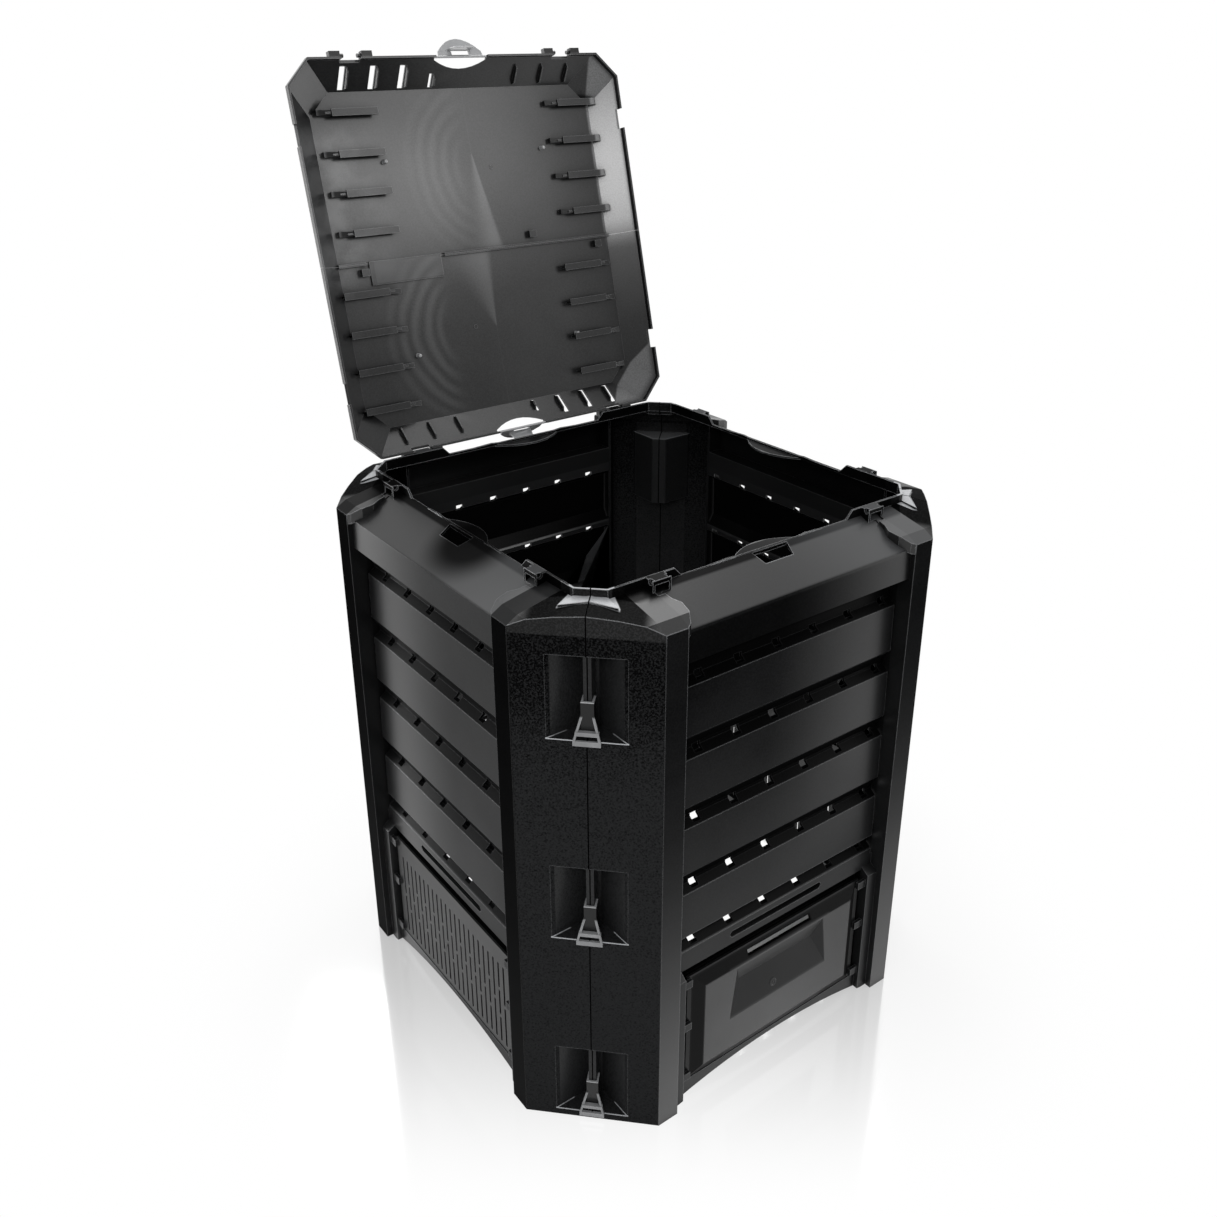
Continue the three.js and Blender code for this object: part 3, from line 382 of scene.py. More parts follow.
class Signal:
    """A number in a material's nodes: sums written with it add their Math nodes."""

    def __init__(self, finish, socket):
        self.finish = finish
        self.socket = socket

    def _math(self, operation, *terms):
        settings = {"operation": operation}
        return self.finish.signal("ShaderNodeMath", settings, dict(enumerate(terms)))

    def __add__(self, other):
        return self._math("ADD", self, other)

    def __radd__(self, other):
        return self._math("ADD", other, self)

    def __sub__(self, other):
        return self._math("SUBTRACT", self, other)

    def __rsub__(self, other):
        return self._math("SUBTRACT", other, self)

    def __mul__(self, other):
        return self._math("MULTIPLY", self, other)

    def __rmul__(self, other):
        return self._math("MULTIPLY", other, self)

    def __truediv__(self, other):
        return self._math("DIVIDE", self, other)

    def __rtruediv__(self, other):
        return self._math("DIVIDE", other, self)

    def __pow__(self, other):
        return self._math("POWER", self, other)

    def __abs__(self):
        return self._math("ABSOLUTE", self)

    def either(self, other):
        return self._math("MAXIMUM", self, other)

    def cycle(self, period):
        """What is left over after whole periods."""
        return self._math("FLOORED_MODULO", self, period)

    def sine(self):
        return self._math("SINE", self)

    def root(self):
        return self._math("SQRT", self)

    def step(self, low, high):
        """0 at low and 1 at high, smoothly between."""
        settings = {"interpolation_type": "SMOOTHSTEP"}
        inputs = {"Value": self, "From Min": low, "From Max": high}
        return self.finish.signal("ShaderNodeMapRange", settings, inputs)

    def band(self, low, high, soft):
        """1 between low and high, fading to 0 over the width soft."""
        return self.step(low - soft, low) * (1 - self.step(high, high + soft))


class Nodes:
    """A node tree and the way its nodes are added."""

    def __init__(self, tree):
        self.tree = tree
        self.tree.nodes.clear()

    def node(self, kind, settings=None, inputs=None):
        """A node of that type: its settings first, then values or links into its sockets."""
        node = self.tree.nodes.new(kind)
        for name, value in (settings or {}).items():
            setattr(node, name, value)
        for key, value in (inputs or {}).items():
            self.feed(node.inputs[key], value)
        return node

    def feed(self, socket, value):
        if isinstance(value, Signal):
            value = value.socket
        if isinstance(value, bpy.types.NodeSocket):
            self.tree.links.new(value, socket)
        else:
            socket.default_value = value

    def signal(self, kind, settings=None, inputs=None, output=0):
        return Signal(self, self.node(kind, settings, inputs).outputs[output])

    def looked_at(self):
        """1 for the rays of the camera, of gloss and of clear plastic, 0 for the others."""
        path = self.node("ShaderNodeLightPath").outputs
        seen = Signal(self, path["Is Camera Ray"]).either(Signal(self, path["Is Glossy Ray"]))
        return seen.either(Signal(self, path["Is Transmission Ray"]))


class Finish(Nodes):
    """One material with its shader."""

    def __init__(self, name, specular=0.5, coat_rough=0.2):
        self.material = bpy.data.materials.new(name)
        self.material.use_nodes = True
        super().__init__(self.material.node_tree)
        settled = {"Specular IOR Level": specular, "Coat Roughness": coat_rough}
        self.shader = self.node("ShaderNodeBsdfPrincipled", None, settled)
        self.output = self.node("ShaderNodeOutputMaterial", None, {"Surface": self.shader.outputs[0]})

    def place(self, turn=(0, 0, 0), shift=(0, 0, 0)):
        """Places on the part in the frame, turned and then shifted."""
        own = self.node("ShaderNodeTexCoord").outputs["Object"]
        inputs = {"Vector": own, "Rotation": turn, "Location": shift}
        return self.node("ShaderNodeMapping", None, inputs).outputs[0]

    def axes(self, place):
        """The three numbers of a place."""
        node = self.node("ShaderNodeSeparateXYZ", None, {0: place})
        return [Signal(self, socket) for socket in node.outputs]

    def toward(self, way):
        """1 where the part's own surface faces that way, 0 where it faces away."""
        own = self.node("ShaderNodeTexCoord").outputs["Normal"]
        x, y, z = self.axes(own)
        return (x * way[0] + y * way[1] + z * way[2]).step(0.0, 0.15)

    def upward(self):
        """1 where the surface faces up, 0 where it is upright or faces down."""
        return self.axes(self.node("ShaderNodeNewGeometry").outputs["Normal"])[2].step(0.1, 0.5)

    def edges(self, width=PART_EDGE):
        """1 along the outer edges of the shape, 0 elsewhere: where the finishes paint highlights."""
        shape = self.node("ShaderNodeNewGeometry").outputs
        rounded = self.node("ShaderNodeBevel", {"samples": 4}, {"Radius": width}).outputs[0]
        inputs = {0: rounded, 1: shape["Normal"]}
        along = self.signal("ShaderNodeVectorMath", {"operation": "DOT_PRODUCT"}, inputs, "Value")
        outer = Signal(self, shape["Pointiness"]).step(0.499, 0.51)
        return (1 - along).step(0.01, 0.14) * outer

    def creases(self, reach=CREASE_REACH):
        """1 deep in the inner corners of the shape, 0 on open faces: where the finishes paint shade."""
        open_sky = self.signal("ShaderNodeAmbientOcclusion", {"samples": 4}, {"Distance": reach}, "AO")
        return 1 - open_sky.step(0.25, 0.9)

    def noise(self, place, scale, detail=2.0, rough=0.5):
        """Soft noise with about that many waves to the metre."""
        inputs = {"Vector": place, "Scale": scale, "Detail": detail, "Roughness": rough}
        return self.signal("ShaderNodeTexNoise", None, inputs)

    def cells(self, place, scale):
        """Distance from the middles of cells, about that many to the metre."""
        inputs = {"Vector": place, "Scale": scale, "Randomness": 1.0}
        return self.signal("ShaderNodeTexVoronoi", {"feature": "F1"}, inputs)

    def blend(self, share, first, second):
        """A colour from first to second as share goes from 0 to 1."""
        settings = {"data_type": "RGBA"}
        return self.node("ShaderNodeMix", settings, {0: share, 6: first, 7: second}).outputs[2]

    def mixed(self, share, first, second):
        """A shader from first to second as share goes from 0 to 1."""
        inputs = {0: share, 1: first.outputs[0], 2: second.outputs[0]}
        return self.node("ShaderNodeMixShader", None, inputs)

    def dress(self, base, rough, coat, relief, depth):
        """Feeds the shader its colour, roughness, sheen and a relief of that depth."""
        bump = self.node("ShaderNodeBump", None, {"Height": relief, "Distance": depth, "Strength": 1.0})
        fed = {"Base Color": base, "Roughness": rough, "Coat Weight": coat,
               "Normal": bump.outputs[0]}
        for socket, value in fed.items():
            self.feed(self.shader.inputs[socket], value)


def paler(colour, factor):
    """A colour with alpha, made lighter or darker."""
    return (*[min(1.0, channel * factor) for channel in colour], 1.0)


def stretched(finish, place, scale):
    """A place with each axis multiplied, so that noise is drawn out."""
    settings = {"operation": "MULTIPLY"}
    return finish.node("ShaderNodeVectorMath", settings, {0: place, 1: scale}).outputs[0]


def wall_axes(finish, turn):
    """Places on a wall as the front wall has them: across, out and up."""
    back = Matrix.Rotation(-turn, 3, "Z") @ Vector((0, BIN_MIDDLE, 0))
    place = finish.place((0, 0, -turn), (-back.x, -back.y, 0))
    return place, *finish.axes(place)


class WallParts:
    """Where the parts of a wall are: each is 1 on its part and 0 elsewhere."""

    def __init__(self, finish, turn, sheen):
        self.place, across, out, height = wall_axes(finish, turn)
        self.across, self.height = across, height
        far, upward = abs(across), finish.upward()
        self.reach, self.off = far - out, abs(far + out)
        self.band = far.step(*BAND_ACROSS)
        self.post = far.step(*POST_ACROSS)
        self.side = (across * sheen["lean"]).step(*RIGHT_ACROSS)
        self.right = across.step(*RIGHT_ACROSS)
        self.low = 1 - height.step(*LOW_UP)
        self.above = height.step(*SHOULDER_UP)
        self.top = self.above * upward
        self.chamfer = self.above * self.post * (1 - upward)
        self.post_end = self.off.step(*POST_END_OFF)
        self.seam = 1 - self.off.step(*SEAM_OFF)
        # Painted shade in the gaps between the slats
        gap = out.band(*GAP_OUT) * (1 - self.band) * (1 - height.step(*SLATS_UP))
        self.gap = gap * sheen["gaps"]
        # Painted shade on the fascia, weaker on the side the sheen leans to
        fascia = height.band(*FASCIA_UP) * (1 - self.band) * (1 - self.side * 0.85)
        self.fascia = fascia * sheen["fascia"] * (1 - upward)
        # Painted shade on the bands beside the posts
        self.band_shade = self.band * (1 - self.post) * sheen["band_shade"]
        beside_lip = out.step(*RIM_OUT).either(self.reach.step(*RIM_REACH))
        self.lip = height.step(*LIP_UP) * (1 - beside_lip)
        pocket = (1 - self.off.step(*POCKET_EDGE)) * self.reach.step(*POCKET_REACH)
        inner = out.step(*INNER_OUT) * (1 - self.reach.step(*POST_REACH)) * (1 - pocket * 0.6)
        self.inner = inner * (1 - height.step(*INSIDE_UP))
        house = (1 - self.reach.step(*HOUSE_REACH)) * height.band(*HOUSE_UP)
        self.house = house * (1 - self.off.step(*HOUSE_OFF))
        self.roof = self.house * height.step(*ROOF_UP)

    def scoop(self, strength):
        """Painted shade of the finger scoop in the shoulder, an ellipse with a soft edge."""
        aside, above = self.across - SCOOP_MIDDLE[0], self.height - SCOOP_MIDDLE[1]
        aside, above = aside / SCOOP_SIZE[0], above / SCOOP_SIZE[1]
        shape = 1 - (aside * aside + above * above).root().step(0.45, 1.1)
        return shape * strength * self.height.step(*SCOOP_UP)

    def painted_reflection(self):
        """A painted reflection: the pale slanted patch on a post's top, on each side of the seam."""
        slanted = (self.reach - (self.off - PATCH_START) * SLANT_SLOPE).step(*PATCH_SLANT)
        back = self.reach.step(*PATCH_BACK)
        front = 1 - (self.reach - self.off * FRONT_SLOPE).step(*PATCH_FRONT)
        return slanted * back * front * (1 - self.off.step(*PATCH_OFF)) * self.top

    def pocket_lines(self):
        """Painted highlight along the front and side edges of the clip pockets' floors."""
        half = POCKET_PITCH / 2
        level = (self.height - POCKET_FLOOR + half).cycle(POCKET_PITCH) - half
        floor = 1 - abs(level).step(*FLOOR_LINE)
        front = 1 - abs(self.reach - CORNER_REACH).step(*FRONT_LINE)
        front = front * (1 - self.off.step(*FRONT_OFF))
        beside = abs(CORNER_REACH - self.reach + self.off - POCKET_OFF)
        side = (1 - beside.step(*SIDE_LINE)) * self.reach.step(*SIDE_REACH)
        return floor * front.either(side)


def wall_finish(name, turn, plastics, sheen):
    """Satin slats and rim, black gaps of painted shade, a leather grain on the corner posts, painted
    shade in the hollows, and painted highlights and reflections.
    """
    finish = Finish(name, 0.0, 0.3)
    parts = WallParts(finish, turn, sheen)
    place, height = parts.place, parts.height
    post, band, top, low = parts.post, parts.band, parts.top, parts.low

    grain = finish.cells(place, 1 / plastics.grain_size)
    pits = finish.noise(place, 0.7 / plastics.grain_size, 3.0, 0.6)
    leather = (grain * 0.8 + pits * 0.6).step(0.35, 0.95)
    speck = finish.noise(place, 430.0, 3.0, 0.75).step(0.40, 0.62)
    cloud = finish.noise(place, 5.0, 3.0, 0.55)
    flow = finish.noise(stretched(finish, place, (4.0, 4.0, 26.0)), 1.0, 4.0, 0.6)
    dust = finish.noise(place, 240.0, 3.0, 0.7).step(0.60, 0.78)
    fine = finish.noise(place, 900.0, 2.0, 0.5)

    edge = finish.edges(WALL_EDGE) * (1 - parts.seam)
    crease = finish.creases() * (1 - post)
    scoop = parts.scoop(sheen["scoop"])
    painted_reflection = parts.painted_reflection()
    # Painted shade that takes the colour to black: the scoop, the bands, the fascia and the creases
    shaded = 1 - (1 - scoop) * (1 - parts.band_shade) * (1 - parts.fascia) * (1 - crease * 0.5)
    clear = (1 - parts.seam) * (1 - parts.gap)
    lower_post = (1 - height.step(*LOWER_POST_UP)) * post

    def own(factor):
        return paler(plastics.wall_colour, factor)

    # Tone: random clouds, flow and specks, the posts' grain, and lighter toward the foot and on the
    # lower posts
    tone = cloud * 0.3 + flow * 0.2 + leather * lower_post * 0.5 + low * 0.3 + lower_post * 0.3
    tone = tone + (speck - 0.5) * (post * 0.8 + 0.15)
    base = finish.blend(tone, own(0.3), own(3.0))
    base = finish.blend(dust * (0.02 + low * 0.04), base, own(DUST_SHADE))
    # Painted shade on the rim's lip
    base = finish.blend(parts.lip * 0.8, base, BLACK)
    # Painted highlight along the edges, brighter toward the top
    base = finish.blend(edge * (0.35 + height.step(*BRIGHT_UP) * 0.65), base, own(EDGE_HIGHLIGHT))
    # Painted highlight on the edges of the pocket floors
    base = finish.blend(parts.pocket_lines(), base, own(POCKET_HIGHLIGHT))
    # Painted reflection on each post's top
    base = finish.blend(painted_reflection, base, own(PATCH_REFLECTION))
    # Painted light on the pocket housing seen inside the far corner, and a painted highlight on its
    # roof
    base = finish.blend(parts.house * 0.4, base, own(3.0))
    base = finish.blend(parts.roof * (0.3 + edge * 0.7), base, own(ROOF_HIGHLIGHT))
    # Painted light on the wall's inner faces
    base = finish.blend(parts.inner * 0.5, base, own(3.0))
    # Painted highlight on the shoulder's top, toward the right
    base = finish.blend(top * parts.right * (1 - post) * 0.75, base, own(8.0))
    # Painted shade on the posts' tops, away from their ends, the painted reflection and the edges
    crown = top * post * (1 - parts.post_end) * (1 - painted_reflection) * (1 - edge)
    base = finish.blend(crown * 0.6, base, BLACK)
    # Painted shade in the gaps and the shaded places; the seam is a dark joint between two walls
    base = finish.blend(clear * (1 - shaded), BLACK, base)

    rough = (plastics.wall_gloss + (flow - 0.5) * 0.12 + (cloud - 0.5) * 0.08
             + post * (plastics.post_gloss - plastics.wall_gloss))
    relief = leather * post + fine * 0.08 + flow * 0.05

    fading = (1 - low * low * sheen["fade"]).either(0.0)
    slats = sheen["even"] + low * sheen["foot"] + parts.side * sheen["side"] * fading
    bands = low * low * sheen["band"]
    coat = (slats + (cloud - 0.5) * 0.15) * (1 - band) + bands * band * (1 - post)
    crest = 1.0 - post * 0.95 + post * parts.post_end * 0.9
    coat = coat * (1 - top) + top * crest + parts.chamfer * 0.35 + painted_reflection
    coat = coat.either(parts.inner * 0.9) * (1 - shaded) * (1 - parts.lip * (1 - edge) * 0.8)

    finish.dress(base, rough, (coat + edge * 0.4) * clear, relief, plastics.grain_depth)
    return finish.material


def mould_marks(finish, place):
    """The soft clouds, fine grain and upright scuffs of a moulded insert."""
    cloud = finish.noise(place, 9.0, 3.0, 0.55)
    fine = finish.noise(place, 700.0, 2.0, 0.5)
    scuff = finish.noise(stretched(finish, place, (60.0, 60.0, 9.0)), 1.0, 5.0, 0.7)
    return cloud, scuff, fine * 0.3 + scuff * 0.2


def door_finish(name, turn, colour):
    """Satin door: painted shade on the bevels round the raised panel, painted shade and less sheen in
    the finger recess, and painted highlights on the edges.
    """
    finish = Finish(name, 0.05, 0.25)
    place, across, out, height = wall_axes(finish, turn)
    cloud, scuff, relief = mould_marks(finish, place)
    edge = finish.edges()
    behind_face = out.step(*FACE_OUT)
    face = 1 - behind_face
    rim = out.step(*DOOR_RIM_OUT)
    far = abs(across)
    inner = (1 - far.step(*RECESS_ACROSS)) * (1 - height.step(*RECESS_UP))
    slot = (1 - far.step(*SLOT_ACROSS)) * height.band(*SLOT_UP)
    # Painted shade: the bevels behind the raised face, the finger recess and the slot go toward black
    level = face + (1 - face) * (inner * 0.55 + (1 - inner) * (0.12 + rim * 0.2))
    level = level * (1 - slot * behind_face)
    tone = cloud * 0.5 + scuff * 0.3 + face * 0.2
    base = finish.blend(tone, paler(colour, 0.6), paler(colour, 2.4))
    # Painted highlight along the edges
    base = finish.blend(edge * 0.5, base, paler(colour, DOOR_EDGE_HIGHLIGHT))
    base = finish.blend(level, BLACK, base)
    coat = (0.62 + (cloud - 0.5) * 0.3) * level
    finish.dress(base, 0.42 + (cloud - 0.5) * 0.12, coat, relief, INSERT_RELIEF)
    return finish.material


def insert_finish(name, colour, gloss, shine):
    """Satin plastic with faint mould flow and painted highlights on its edges, for the grilles, latches
    and door marks.
    """
    finish = Finish(name, 0.2, 0.25)
    cloud, scuff, relief = mould_marks(finish, finish.place())
    edge = finish.edges()
    base = finish.blend(cloud * 0.6 + scuff * 0.4, paler(colour, 0.6), paler(colour, 2.0))
    # Painted highlight along the edges
    base = finish.blend(edge * 0.8, base, paler(colour, INSERT_EDGE_HIGHLIGHT))
    coat = shine + (cloud - 0.5) * 0.3 + edge * 0.4
    finish.dress(base, gloss + (cloud - 0.5) * 0.12, coat, relief, INSERT_RELIEF)
    return finish.material


def clip_finish(name, colour):
    """Corner clips: a dark gripping block, with a painted highlight on its top line and on the frame
    before it.
    """
    finish = Finish(name, 0.2, 0.25)
    place = finish.place((0, 0, 0), (0, -BIN_MIDDLE, 0))
    across, along, height = finish.axes(place)
    reach = abs(across) + abs(along)
    cloud = finish.noise(place, 60.0, 3.0, 0.6)
    edge = finish.edges(CLIP_EDGE)
    bail = reach.step(*FRAME_REACH)
    level = (height - POCKET_FLOOR).cycle(POCKET_PITCH)
    crest = level.step(*CREST_START) * (1 - level.step(*CREST_END))
    # Painted highlight on the frame, its edges and the top line
    light = (bail * (0.35 + cloud * 0.5)).either(crest).either(edge * bail)
    base = finish.blend(light * 0.8, paler(colour, 0.5), paler(colour, CLIP_HIGHLIGHT))
    finish.dress(base, 0.35 + (cloud - 0.5) * 0.2, 0.2 + light, cloud, CLIP_RELIEF)
    return finish.material


def lid_flow(across, along, wobble):
    """The melt rings and the pale fans that spread from the gates of the two halves."""
    rings, fans = 0.0, 0.0
    for side, (middle, gate), (apex, tip), (left, right), strength in LID_PATTERNS:
        half = (along * side).step(*HALF_EDGE)
        beside, away = across - middle, along - gate
        radius = (beside * beside + away * away).root() + wobble * RING_WOBBLE
        wave = (radius * RING_TURNS).sine() * 0.5 + 0.5
        fade = radius.step(*RING_START) * (1 - radius.step(*RING_END))
        fade = fade * (1 - beside.step(*RING_BESIDE))
        rings = wave * fade * half * strength + rings
        run = ((along - tip) / -tip).either(0.0)
        centre = apex + run * ((left + right) / 2 - apex)
        spread = (across - centre) / (run * ((right - left) / 2) + FAN_TIP)
        needle = spread.step(*FAN_RISE) ** 1.6 * (1 - spread.step(*FAN_FALL))
        fans = needle * half * (0.35 + run * 0.4 + wobble * 0.4) * run.step(-0.01, 0.02) + fans
    return rings, fans


def lid_finish(name, plastics):
    """Half-gloss lid: melt rings spreading from the gates and two pale streaks, with painted
    highlights, a painted reflection on the right bevel, and painted shade.
    """
    finish = Finish(name, 0.2, 0.22)
    turn = Matrix.Rotation(LID_OPEN, 3, "X")
    shift = LID_HINGE - turn @ LID_HINGE - Vector((0, BIN_MIDDLE, 0))
    place = finish.place((LID_OPEN, 0, 0), shift)
    across, along, height = finish.axes(place)

    cloud = finish.noise(place, 6.0, 3.0, 0.55)
    fine = finish.noise(place, 700.0, 2.0, 0.5)
    wobble = finish.noise(place, 12.0, 2.0, 0.5)
    blotch = finish.noise(place, 16.0, 4.0, 0.6).step(0.35, 0.7)
    speck = finish.noise(place, 500.0, 2.0, 0.7).step(0.35, 0.65)
    edge = finish.edges()
    crease = finish.creases()

    inside = finish.toward((0, -math.sin(LID_OPEN), -math.cos(LID_OPEN)))
    rings, fans = lid_flow(across, along, wobble)
    rings, fans = rings * inside, fans * inside
    # Painted highlight on the left of the lid, with a blotchy relief
    left_glare = (1 - across.step(*GLARE_ACROSS)) * along.band(*GLARE_ALONG) * inside
    beside, away = across - GLOW_MIDDLE[0], along - GLOW_MIDDLE[1]
    glow = (1 - (beside * beside + away * away).root().step(*GLOW_RADIUS)) * inside
    bevel = across.step(*BEVEL_ACROSS) * height.step(*BEVEL_UP)
    bevel = bevel * (1 - along.step(*BEVEL_ALONG)) * inside
    corner = (across + along).step(*LID_CORNER) * height.step(*RAIL_FOOT_UP) * inside
    tongue = across.band(*TONGUE_ACROSS) * along.band(*TONGUE_ALONG) * inside
    wall = (1 - along.step(*END_WALL_ALONG)) * (1 - height.step(*END_WALL_UP)) * inside
    rail = height.step(*RAIL_FOOT_UP) * (1 - height.step(*RAIL_TOP_UP))
    for way in (across, along):
        rail = rail * (1 - abs(way).step(*RAIL_FAR))
    below = finish.toward((0, 0, -1)).either(finish.toward((-1, 0, 0))) * rail
    # Painted shade in the creases, on the end wall's inner face, and under and left of the rails
    painted_shade = 1 - (1 - crease) * (1 - wall * 0.8) * (1 - below * 0.85)

    def own(factor):
        return paler(plastics.lid_colour, factor)

    tone = cloud * 0.3 + rings * 0.35 + fans * 0.9 + left_glare * (0.3 + blotch * 0.9)
    tone = tone + (speck - 0.5) * 0.25 + tongue * 0.5
    base = finish.blend(tone, own(0.6), own(3.2))
    # Painted highlight along the edges
    base = finish.blend(edge * 0.7, base, own(LID_EDGE_HIGHLIGHT))
    # Painted reflection on the right bevel and its corner
    base = finish.blend((bevel + corner * 0.8) * (0.6 + speck * 0.4), base, own(LID_BEVEL_REFLECTION))
    base = finish.blend(painted_shade, base, BLACK)

    rough = plastics.lid_gloss + (cloud - 0.5) * 0.1 + rings * 0.05 + fans * 0.1
    relief = fine * 0.2 + rings * 1.2 + cloud * 0.4 + left_glare * blotch * 0.5

    shade = along.step(*SHADE_ALONG) * 0.25 + across.step(*SHADE_ACROSS) * 0.2
    coat = 0.42 + (cloud - 0.5) * 0.3 + fans * 0.6 + left_glare * (0.2 + blotch * 0.5) + rings * 0.3
    coat = (coat - shade + glow * 0.25 + (bevel + corner).either(0.0)) * (1 - painted_shade)
    coat = coat * (1 - rail * (1 - edge) * 0.45)

    finish.dress(base, rough, coat, relief, LID_RELIEF)
    return finish.material


# Meshes


def paint(thing, material):
    """Gives a thing that material alone."""
    thing.data.materials.clear()
    thing.data.materials.append(material)


def named_finish(name):
    """The finish of that name, which an earlier step has made."""
    material = bpy.data.materials.get(name)
    if material is None:
        raise RuntimeError(f"the finish {name} isn't made yet")
    return material


def flat_faces():
    """A node group that drops the shading of an imported mesh, so its faces are flat."""
    group = bpy.data.node_groups.new("flat faces", "GeometryNodeTree")
    nodes = Nodes(group)
    for way in ("INPUT", "OUTPUT"):
        group.interface.new_socket("Geometry", in_out=way, socket_type="NodeSocketGeometry")
    start = nodes.node("NodeGroupInput").outputs[0]
    inputs = {"Mesh": start, "Remove Custom": True, "Face Sharpness": True}
    flat = nodes.node("GeometryNodeSetMeshNormal", {"mode": "SHARPNESS"}, inputs)
    nodes.node("NodeGroupOutput", None, {0: flat.outputs[0]})
    return group


def soften(thing, width, flat):
    """Joins the flat facets of a moulded shape and rounds its sharp edges a little."""
    modifiers = thing.modifiers
    modifiers.new("weld", "WELD").merge_threshold = SAME_POINT
    facets = modifiers.new("joined facets", "DECIMATE")
    facets.decimate_type = "DISSOLVE"
    facets.angle_limit = FLAT_ANGLE
    rounding = modifiers.new("soft edges", "BEVEL")
    rounding.width = width
    rounding.segments = ROUND_STEPS
    rounding.limit_method = "ANGLE"
    rounding.angle_limit = SHARP_ANGLE
    rounding.use_clamp_overlap = True
    rounding.loop_slide = False
    modifiers.new("flat faces", "NODES").node_group = flat


def piece(name, mesh, material, body):
    """Links a finished mesh as a piece that rides on a body."""
    thing = bpy.data.objects.new(name, mesh)
    bpy.context.scene.collection.objects.link(thing)
    paint(thing, material)
    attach(thing, body)


def lid_turn():
    """From the shut lid's place to the open one."""
    there = Matrix.Translation(LID_HINGE)
    return there @ Matrix.Rotation(-LID_OPEN, 4, "X") @ Matrix.Translation(-LID_HINGE)


def lathed(profile, sides=20):
    """A closed round solid from a profile of radius and height, on +Z."""
    shape = bmesh.new()
    rings = []
    for radius, height in profile:
        if radius == 0:
            rings.append([shape.verts.new((0, 0, height))])
            continue
        ring = []
        for i in range(sides):
            angle = 2 * math.pi * i / sides
            ring.append(shape.verts.new((radius * math.cos(angle), radius * math.sin(angle), height)))
        rings.append(ring)
    for lower, upper in zip(rings, rings[1:]):
        for i in range(sides):
            j = (i + 1) % sides
            corners = [lower[i % len(lower)], lower[j % len(lower)],
                       upper[j % len(upper)], upper[i % len(upper)]]
            shape.faces.new(list(dict.fromkeys(corners)))
    bmesh.ops.recalc_face_normals(shape, faces=shape.faces)
    return shape


def merged(shapes, places):
    """One mesh from several solids, each set in its own place."""
    mesh = bpy.data.meshes.new("moulding")
    whole = bmesh.new()
    for shape, place in zip(shapes, places):
        part = bpy.data.meshes.new("part")
        shape.transform(place)
        shape.to_mesh(part)
        shape.free()
        whole.from_mesh(part)
        bpy.data.meshes.remove(part)
    whole.to_mesh(mesh)
    whole.free()
    return mesh


def facing(point, normal):
    """The place of a solid that stands on point, along normal."""
    turn = Vector(normal).to_track_quat("Z", "Y").to_matrix().to_4x4()
    return Matrix.Translation(Vector(point)) @ turn


def gate_mark(radius, height):
    """A low ring with a small nib in its middle, sunk a little into the plastic."""
    return lathed([(0, MARK_SINK), (radius, MARK_SINK), (radius, height * 0.6),
                   (radius * 0.9, height), (radius * 0.72, height), (radius * 0.62, height * 0.3),
                   (radius * 0.2, height * 0.3), (radius * 0.12, height * 1.3), (0, height * 1.4)])


def peg(radius, height):
    """A tapered peg with a rounded end, sunk a little into the plastic."""
    return lathed([(0, MARK_SINK), (radius * 1.25, MARK_SINK), (radius, height * 0.25),
                   (radius * 0.92, height * 0.8), (radius * 0.6, height * 0.97), (0, height)], 16)


# Operators


class COMPOST_OT_wall_plastic(bpy.types.Operator):
    """Paint the four walls: satin slats and grained corner posts"""

    bl_idname = "compost.wall_plastic"
    bl_label = "Wall plastic"

    def execute(self, context):
        for side, turn in WALL_TURNS.items():
            sheen = dict(zip(SHEEN_NAMES, WALL_SHEEN[side]))
            material = wall_finish(f"wall plastic {side}", turn, context.scene.bin_plastics, sheen)
            paint(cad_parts[f"wall_{side}"], material)
        return {"FINISHED"}


class COMPOST_OT_insert_plastic(bpy.types.Operator):
    """Paint the doors and the vent grilles"""

    bl_idname = "compost.insert_plastic"
    bl_label = "Door and grille plastic"

    def execute(self, context):
        colour = context.scene.bin_plastics.insert_colour
        material = insert_finish("insert plastic", colour, *GRILLE_SATIN)
        for name in ("grille_left", "grille_right"):
            paint(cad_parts[name], material)
        for side in ("front", "back"):
            material = door_finish(f"door plastic {side}", WALL_TURNS[side], colour)
            paint(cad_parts[f"door_{side}"], material)
        return {"FINISHED"}


class COMPOST_OT_lid_plastic(bpy.types.Operator):
    """Paint the two lid halves"""

    bl_idname = "compost.lid_plastic"
    bl_label = "Lid plastic"

    def execute(self, context):
        material = lid_finish("lid plastic", context.scene.bin_plastics)
        for name in ("lid_half_front", "lid_half_back"):
            paint(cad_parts[name], material)
        return {"FINISHED"}


class COMPOST_OT_trim_plastic(bpy.types.Operator):
    """Paint the corner clips and the lid latches"""

    bl_idname = "compost.trim_plastic"
    bl_label = "Clip and latch plastic"

    def execute(self, context):
        colour = context.scene.bin_plastics.trim_colour
        clips = clip_finish("clip plastic", colour)
        latches = insert_finish("latch plastic", paler(colour, LATCH_SHADE)[:3], *LATCH_SATIN)
        for name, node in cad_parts.items():
            if name.startswith("clip_"):
                paint(node, clips)
            elif name.startswith("latch_"):
                paint(node, latches)
        return {"FINISHED"}


class COMPOST_OT_soft_edges(bpy.types.Operator):
    """Round the sharp edges of every moulded part"""

    bl_idname = "compost.soft_edges"
    bl_label = "Soft edges"

    def execute(self, context):
        flat = flat_faces()
        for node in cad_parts.values():
            soften(node, context.scene.bin_details.edge_round, flat)
        return {"FINISHED"}


